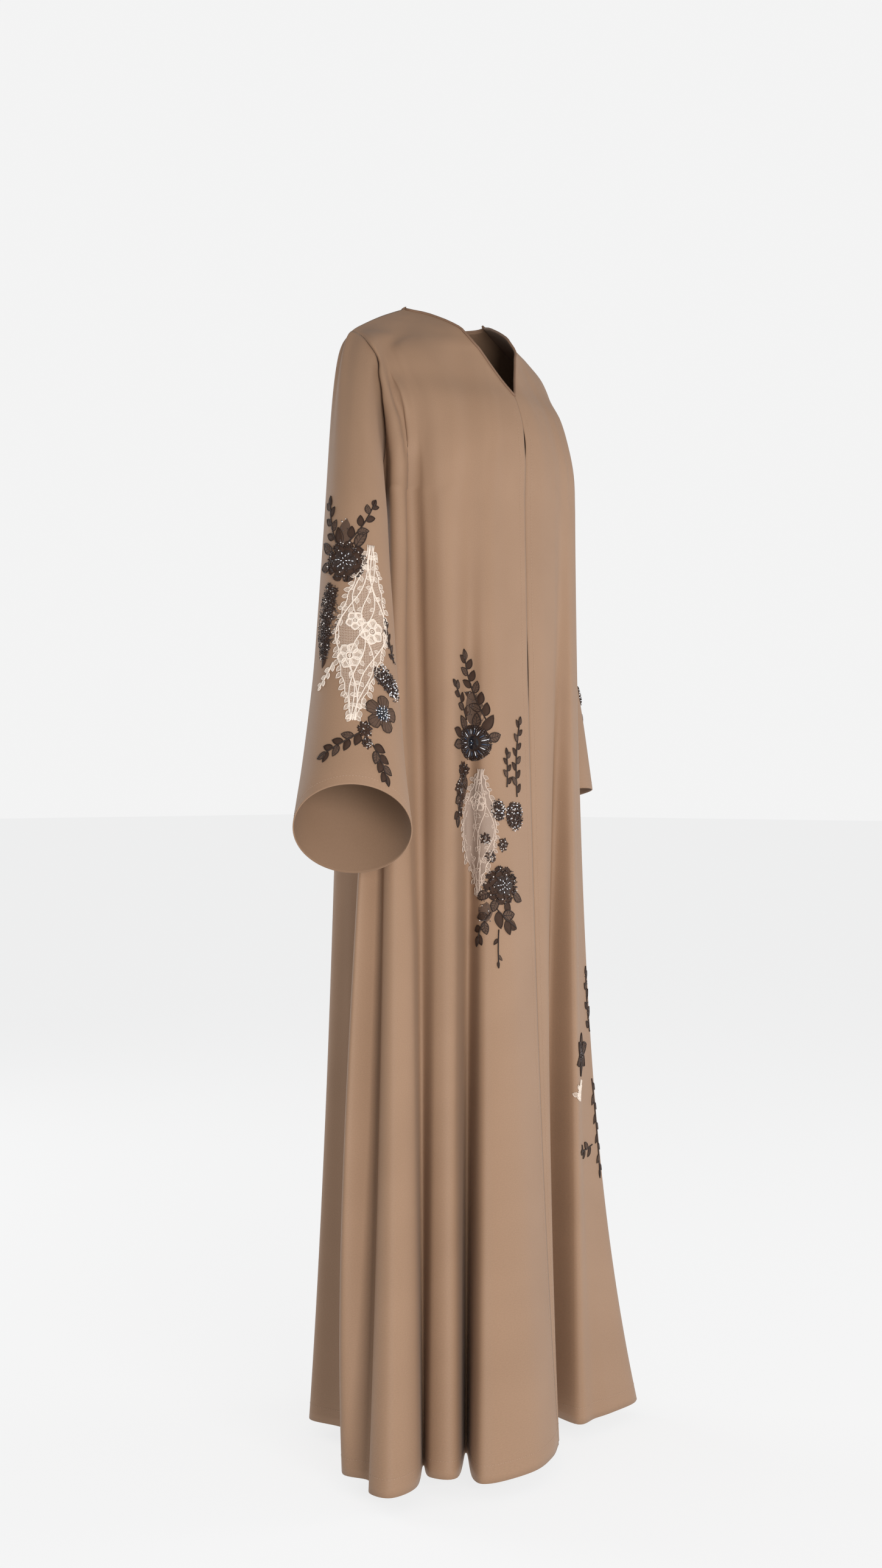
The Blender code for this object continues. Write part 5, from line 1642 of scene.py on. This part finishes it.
def spray_leaves(spray):
    """Leaves by turns along a spray, and its stem."""
    foot = Vector(spray.foot)
    along = Vector(spray.tip) - foot
    beside = Vector((-along.y, along.x)) * spray.bow

    def stem_at(share):
        return foot + along * share + beside * 4 * share * (1 - share)

    leaves = []
    top = 1 - LAST_LEAF * spray.leaf / along.length
    for index in range(spray.leaves + 1):
        share = min(top * (index + FIRST_LEAF) / spray.leaves, top)
        point = stem_at(share)
        heading = (along + beside * 4 * (1 - 2 * share)).normalized()
        side = 0 if index == spray.leaves else (1 if index % 2 == 0 else -1)
        way = turned(heading, side * LEAF_TURN)
        length = spray.leaf * LEAF_LONGER * (1 - LEAF_SHRINK * share)
        look = "lace" if spray.colour == "lace" else ("veined" if index % 3 == 1 else "satin")
        leaves.append(Leaf(point, point + way * length, length / spray.slim * LEAF_FULLER, look))
    stem = [stem_at(step / STEM_STEPS) for step in range(STEM_STEPS + 1)]
    return leaves, raised(stem, CORD_RISE)


def make_spray(work, spray):
    """A spray of leaves by turns along its stem, with what is sewn over it."""
    leaves, stem = spray_leaves(spray)
    work.cord(stem, STEM_THREAD, "lace cord" if spray.colour == "lace" else "dark cord", 6)
    for leaf in leaves:
        work.sewn_leaf(leaf, work.chance.uniform(0.0, 0.0005))
    veil(work, spray.name)
    path = along_path(stem, 4)
    if spray.name == "beaded_spray":
        beaded_band(work, path)
    if spray.name == "cuff_branch":
        for centre, radius in CUFF_KNOTS:
            low_knot(work, centre, radius)
    if spray.name in BEADED_STEMS:
        work.seeds(path, lambda share: 0.0042, 34, ["dark bead", "gunmetal"], FINE_SEEDS, 0.0018)


# ---------------------------------------------------------------- lace

# Between small leaves along a patch's edges and along its cords, and how high
# the heart of a pale flower lies
LACE_EDGE_GAP = 0.0062
LACE_LEAF_GAP = 0.012
HEART_RISE = 0.0010


def patch_edges(rows):
    """The near and far edges of a lace patch as smooth flat paths."""
    near = along_path([(row.near, row.height) for row in rows], 5)
    far = along_path([(row.far, row.height) for row in rows], 5)
    return near, far


def scalloped(path, waves, depth):
    """A path with rounded scallops to one side."""
    out = []
    count = len(path) - 1
    for index, point in enumerate(path):
        heading = (path[min(index + 1, count)] - path[max(index - 1, 0)]).normalized()
        beside = Vector((-heading.y, heading.x, 0.0))
        out.append(point + beside * depth * (abs(math.sin(math.pi * waves * index / count)) - 0.5))
    return out


def lace_flower(work, centre, radius, petals, tilt):
    """A pale flower: sheer petals with stout corded edges round an open heart."""
    for index in range(petals):
        angle = tilt + 2 * math.pi * index / petals
        leaf = petal(centre, angle, radius * 0.24, radius, radius * 0.84, "lace")
        work.fill(leaf, "lace fill", 0.0005, 0.0002, 0.0002, 4, 6)
        rim = leaf_rim(leaf, 7)
        work.cord(raised(rim, 0.0008), 0.00075, "lace cord")
        middle = leaf_outline(leaf, 0.5, 0)
        inner = [middle.lerp(point, 0.74) for point in rim]
        work.cord(raised(inner, LACE_RISE), 0.00050, "lace cord", 4)
    work.cord(ring_path(centre, radius * 0.27, 12, HEART_RISE), 0.00085, "lace cord")
    work.cord(ring_path(centre, radius * 0.10, 8, HEART_RISE), PALE_CORD, "lace cord", 4)


def leafy(work, path, gap, sides, length):
    """Small pale leaves along a path, on the sides given by turns."""
    reach, count = 0.0, 0
    for before, after in zip(path, path[1:]):
        before, after = Vector(before[:2]), Vector(after[:2])
        reach += (after - before).length
        if reach < gap:
            continue
        reach = 0.0
        side = sides[count % len(sides)]
        count += 1
        way = turned((after - before).normalized(), side * work.chance.uniform(0.6, 1.2))
        size = length * work.chance.uniform(0.8, 1.25)
        leaf = Leaf(after, after + way * size, size * 0.62, "lace")
        work.fill(leaf, "lace fill", 0.0005, 0.0002, 0.0, 2, 4)
        work.cord(raised(leaf_rim(leaf, 4), LACE_RISE), RIM_CORD, "lace cord", 4)


def wandering_cord(rows, place, sway, turn):
    """A cord down a patch at a place between its edges, swaying from side to side."""
    path = []
    for index, row in enumerate(rows):
        share = index / (len(rows) - 1)
        middle, half = (row.near + row.far) / 2, (row.far - row.near) / 2
        swing = place + sway * math.sin(2 * math.pi * 1.5 * share + turn)
        path.append((middle + half * swing, row.height))
    return raised(along_path(path, 3), CORD_RISE)


def make_lace(work, where, rows):
    """Corded edges, flowers, leaves and swaying cords of a lace patch."""
    worn = WORN_LACE[where]
    near, far = patch_edges(rows)
    for edge, side in ((near, 1), (far, -1)):
        path = scalloped(edge, len(rows) * 0.9, 0.0022 * side)
        work.cord(raised(path, CORD_RISE), PALE_CORD, "lace cord")
        leafy(work, path, LACE_EDGE_GAP, (-side,), 0.0074)
    for flower in LACE_FLOWERS:
        if flower.where == where:
            lace_flower(work, flower.centre, flower.radius, flower.petals, flower.tilt)
    for index in range(worn.cords):
        place = 0.8 * (2 * (index + 0.5) / worn.cords - 1)
        path = wandering_cord(rows, place, worn.sway, 2.4 * index)
        work.cord(path, worn.width * 0.62, "lace cord")
        leafy(work, path, LACE_LEAF_GAP, (1, -1), 0.0066)


def make_net(name, rows, layout, material):
    """The net ground of a lace patch, laid just over its cloth."""
    near, far = patch_edges(rows)
    last = len(near) - 1

    def place_at(x, y):
        index = min(max(round((0.5 - y) * last), 0), last)
        flat = near[index].lerp(far[index], x + 0.5)
        return (flat.x, flat.y, 0.0008), flat[:2]

    part = grid_part(8, last, place_at)
    places = layout.lay(np.array([vertex.co for vertex in part.verts]))
    for vertex, place in zip(part.verts, places):
        vertex.co = place
    if layout.mirrored:
        bmesh.ops.reverse_faces(part, faces=part.faces[:])
    area = sum(face.calc_area() for face in part.faces)
    return new_piece(name, part, [material]), area


# ---------------------------------------------------------------- dressing the frame


def dress_clothes(clothes, materials):
    """Fine cloth in place of the model's five large pieces."""
    for name, cloth in clothes.items():
        # The second material, for the inner wall, is darker crepe as painted shade
        piece = cloth_object(cloth, [materials["crepe"], materials["crepe inside painted shade"]])
        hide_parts(name)


# The neck binding's radius and how far its middle lies over the edge; a stitch's
# length, the space from one to the next and its width, how high it sits, and how
# far apart the points of a line of stitching are
BINDING_RADIUS = 0.0017
BINDING_LIFT = 0.0006
STITCH = (0.0025, 0.0036, 0.0006)
STITCH_RISE = 0.0001
STITCH_SPACING = 0.004


def tube_along(points, radius, around):
    """A round tube through points in space, closed at both ends."""
    last = len(points) + 1
    path = [points[0]] + list(points) + [points[-1]]
    reach = run_along(path)

    def place_at(x, y):
        turn = 2 * math.pi * (x + 0.5)
        index = min(max(round((y + 0.5) * last), 0), last)
        heading = (path[min(index + 2, last)] - path[max(index - 2, 0)]).normalized()
        beside = heading.cross(Vector((0.0, -1.0, 0.2))).normalized()
        over = beside.cross(heading)
        size = 0.0 if index in (0, last) else radius
        point = path[index] + (beside * math.cos(turn) + over * math.sin(turn)) * size
        return point, ((x + 0.5) * radius * 6, reach[index])

    part = grid_part(around, last, place_at, CORD_MERGE)
    bmesh.ops.recalc_face_normals(part, faces=part.faces[:])
    return part


def neck_path(clothes):
    """Points along the neck's edge, from one front edge by the nape to the other."""
    foot = V_NECK_STEP * ROWS_PER_YOKE_STEP
    right = [Vector(point) for point in clothes[RIGHT_FRONT].points[0, foot::-1]]
    left = [Vector(point) for point in clothes[LEFT_FRONT].points[-1, : foot + 1]]
    start, end = [(place - RIGHT_SEAM) * COLUMNS_PER_FOLD for place in BACK_NECK_PLACES]
    back = [Vector(point) for point in clothes["back"].points[start : end + 1, 0]]
    return [point + Vector((0.0, 0.0, BINDING_LIFT)) for point in right + back[1:-1] + left]


def sew(part, mesh, path, facing):
    """Stitches along a path in space: small rounded lengths of thread."""
    stitch, pitch, width = STITCH
    lengths = np.linalg.norm(np.diff(path, axis=0), axis=1)
    reach = np.concatenate([[0.0], np.cumsum(lengths)])
    for place in np.arange(pitch / 2, reach[-1], pitch):
        here = [np.interp(place, reach, path[:, axis]) for axis in range(3)]
        after = [np.interp(place + 0.001, reach, path[:, axis]) for axis in range(3)]
        normal = Vector([np.interp(place, reach, facing[:, axis]) for axis in range(3)]).normalized()
        heading = (Vector(after) - Vector(here)).normalized()
        beside = normal.cross(heading).normalized()
        turn = Matrix((heading, beside, normal)).transposed().to_4x4()
        copy = mesh.copy()
        size = Matrix.Diagonal((stitch / 2, width / 2, width / 3, 1.0))
        copy.transform(Matrix.Translation(here) @ turn @ size)
        part.from_mesh(copy)
        bpy.data.meshes.remove(copy)


def edge_lines(cloth):
    """Lines of stitching on a piece: (points, normals) beside its edges."""
    columns = len(cloth.points)
    lines = []
    if cloth.name in EDGE_LAYOUTS:
        layout = Layout(cloth, *EDGE_LAYOUTS[cloth.name](columns), (0.0, 0.03), (-1.392, -0.125))
        heights = np.arange(-0.13, -1.388, -STITCH_SPACING)
        flat = np.array([(FRONT_STITCH_ASIDE, height, 0.0) for height in heights])
        laid = layout.lay(flat)
        above = layout.lay(flat + np.array([0.0, 0.0, layout.STEP]))
        lines.append((laid, (above - laid) / layout.STEP))
    down = cloth.distance_down()
    hem = []
    for values in (cloth.points, cloth.normals):
        rows = []
        for column in range(columns):
            place = down[column, -1] - (CUFF_TURN_UP if cloth.closed else HEM_TURN_UP)
            rows.append([np.interp(place, down[column], values[column, :, axis]) for axis in range(3)])
        hem.append(np.array(rows))
    return lines + [tuple(hem)]


def dress_edges(clothes, materials):
    """The neck's rolled binding, and stitching beside the edges, hems and cuffs."""
    roll = tube_along(neck_path(clothes), BINDING_RADIUS, 8)
    binding = new_piece("neck_binding_roll", roll, [materials["binding"]])
    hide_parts("neck_binding")
    ball = bead_mesh()
    for name, cloth in clothes.items():
        part = bmesh.new()
        part.loops.layers.uv.new("UVMap")
        for points, facing in edge_lines(cloth):
            sew(part, ball, points + facing * STITCH_RISE, facing)
        new_piece(name + "_stitching", part, [materials["stitching"]])
    bpy.data.meshes.remove(ball)


def pieces_of(where):
    """The pieces of cloth that a row of a table is sewn on."""
    if where == BOTH_SLEEVES:
        return [name for name, *_ in SLEEVES]
    return [where]


def bead_mesh():
    """A small faceted ball, a metre across each way, that every bead is made from."""
    ball = bmesh.new()
    ball.loops.layers.uv.new("UVMap")
    bmesh.ops.create_uvsphere(ball, u_segments=7, v_segments=5, radius=1.0)
    mesh = bpy.data.meshes.new("bead")
    ball.to_mesh(mesh)
    ball.free()
    return mesh


def lace_finishes(where, materials):
    """The finishes of a lace patch; the hip's lace is duller and closer."""
    if where != RIGHT_FRONT:
        return materials
    hip = {"lace " + kind: materials["hip lace " + kind] for kind in ("cord", "fill", "net")}
    return {**materials, **hip}


def dress_applique(clothes, materials):
    """Every motif, on each piece that carries it."""
    layouts = make_layouts(clothes)
    beads = bead_mesh()

    def start(cloth, motif, finishes=materials):
        return FlatWork(cloth + "_" + motif, finishes, beads)

    for spray in SPRAYS:
        for cloth in pieces_of(spray.piece):
            work = start(cloth, spray.name)
            make_spray(work, spray)
            piece = work.finish(layouts[cloth], cloth + "_" + spray.name)
    for flower in FLOWERS:
        wider, taller, aside, above = FLOWER_GROWTH.get(flower.name, (1.0, 1.0, 0.0, 0.0))
        flower = flower._replace(wide=flower.wide * wider, tall=flower.tall * taller,
                                 across=flower.across + aside, height=flower.height + above)
        for cloth in pieces_of(flower.piece):
            work = start(cloth, flower.name)
            FLOWER_MAKERS[flower.name](work, flower)
            fan(work, flower)
            veil(work, flower.name)
            piece = work.finish(layouts[cloth], cloth + "_" + flower.name)
    for patch in PATCHES:
        motif, where, worn = patch.name, patch.piece, WORN_LACE[patch.piece]
        rows = [row._replace(near=row.near + worn.aside, far=row.far + worn.aside)
                for row in patch_rows(patch._replace(wide=patch.wide * worn.wider))]
        finishes = lace_finishes(where, materials)
        for cloth in pieces_of(where):
            work = start(cloth, motif, finishes)
            make_lace(work, where, rows)
            worked = work.finish(layouts[cloth], cloth + "_" + motif)
            net, area = make_net(cloth + "_net", rows, layouts[cloth], finishes["lace net"])
            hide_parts(cloth + "_" + motif)
    work = start(RIGHT_FRONT, "small_blossoms")
    for centre, radius in SMALL_BLOSSOMS:
        low_knot(work, centre, radius)
        work.bead("gunmetal", centre, 0.0030, 0.0026)
    work.finish(layouts[RIGHT_FRONT], None)
    bpy.data.meshes.remove(beads)


# ---------------------------------------------------------------- studio


def make_camera():
    """A level camera at the wearer's front right."""
    toward = Vector(CAMERA_DIRECTION).normalized()
    right = Vector((toward.y, -toward.x, 0.0))
    camera = bpy.data.cameras.new("camera")
    camera.sensor_fit = "VERTICAL"
    camera.sensor_height = SENSOR_HEIGHT
    camera.lens = FOCAL_LENGTH / IMAGE_HEIGHT * camera.sensor_height
    viewer = bpy.data.objects.new("camera", camera)
    up = Vector((0.0, 0.0, 1.0))
    turn = Matrix((right, up, -toward)).transposed().to_4x4()
    place = toward * -CAMERA_DISTANCE + Vector((0.0, 0.0, CAMERA_HEIGHT)) - right * CAMERA_ASIDE
    viewer.matrix_world = Matrix.Translation(place) @ turn
    bpy.context.scene.collection.objects.link(viewer)
    bpy.context.scene.camera = viewer


def area_light(name, place, aim, size, power):
    """A soft square light that faces a point."""
    light = bpy.data.lights.new(name, "AREA")
    light.shape = "SQUARE"
    light.size = size
    light.energy = power
    lamp = bpy.data.objects.new(name, light)
    lamp.location = place
    lamp.rotation_euler = (Vector(aim) - Vector(place)).to_track_quat("-Z", "Y").to_euler()
    bpy.context.scene.collection.objects.link(lamp)


def make_studio():
    """Pale floor, near-white surroundings and soft lights."""
    scene = bpy.context.scene
    scene.view_settings.view_transform = "Standard"
    world = bpy.data.worlds.new("studio")
    world.use_nodes = True
    tree = world.node_tree
    backdrop = tree.nodes["Background"]
    backdrop.inputs["Color"].default_value = (*BACKDROP_COLOUR, 1.0)
    ambient = tree.nodes.new("ShaderNodeBackground")
    ambient.inputs["Color"].default_value = (*AMBIENT_COLOUR, 1.0)
    ambient.inputs["Strength"].default_value = AMBIENT_STRENGTH
    path = tree.nodes.new("ShaderNodeLightPath")
    mix = tree.nodes.new("ShaderNodeMixShader")
    tree.links.new(path.outputs["Is Camera Ray"], mix.inputs["Fac"])
    tree.links.new(ambient.outputs[0], mix.inputs[1])
    tree.links.new(backdrop.outputs[0], mix.inputs[2])
    tree.links.new(mix.outputs[0], tree.nodes["World Output"].inputs["Surface"])
    scene.world = world

    floor = bmesh.new()
    bmesh.ops.create_grid(floor, x_segments=1, y_segments=1, size=40.0)
    bmesh.ops.translate(floor, verts=floor.verts[:], vec=(0.0, 0.0, FLOOR_HEIGHT))
    mesh = bpy.data.meshes.new("floor")
    floor.to_mesh(mesh)
    floor.free()
    shade = (FLOOR_SHADE, FLOOR_SHADE, FLOOR_SHADE, 1.0)
    paint = plain_material(
        "floor paint", 0.9, Base_Color=shade, Specular_IOR_Level=0.0,
        Emission_Color=(1.0, 1.0, 1.0, 1.0), Emission_Strength=FLOOR_GLOW,
    )[0]
    mesh.materials.append(paint)
    ground = bpy.data.objects.new("floor", mesh)
    scene.collection.objects.link(ground)
    for row in LIGHTS:
        area_light(*row)


def main():
    """Dress the frame, light it and set the camera."""
    materials = make_materials()
    clothes = make_clothes()
    dress_clothes(clothes, materials)
    dress_edges(clothes, materials)
    dress_applique(clothes, materials)
    make_camera()
    make_studio()


main()
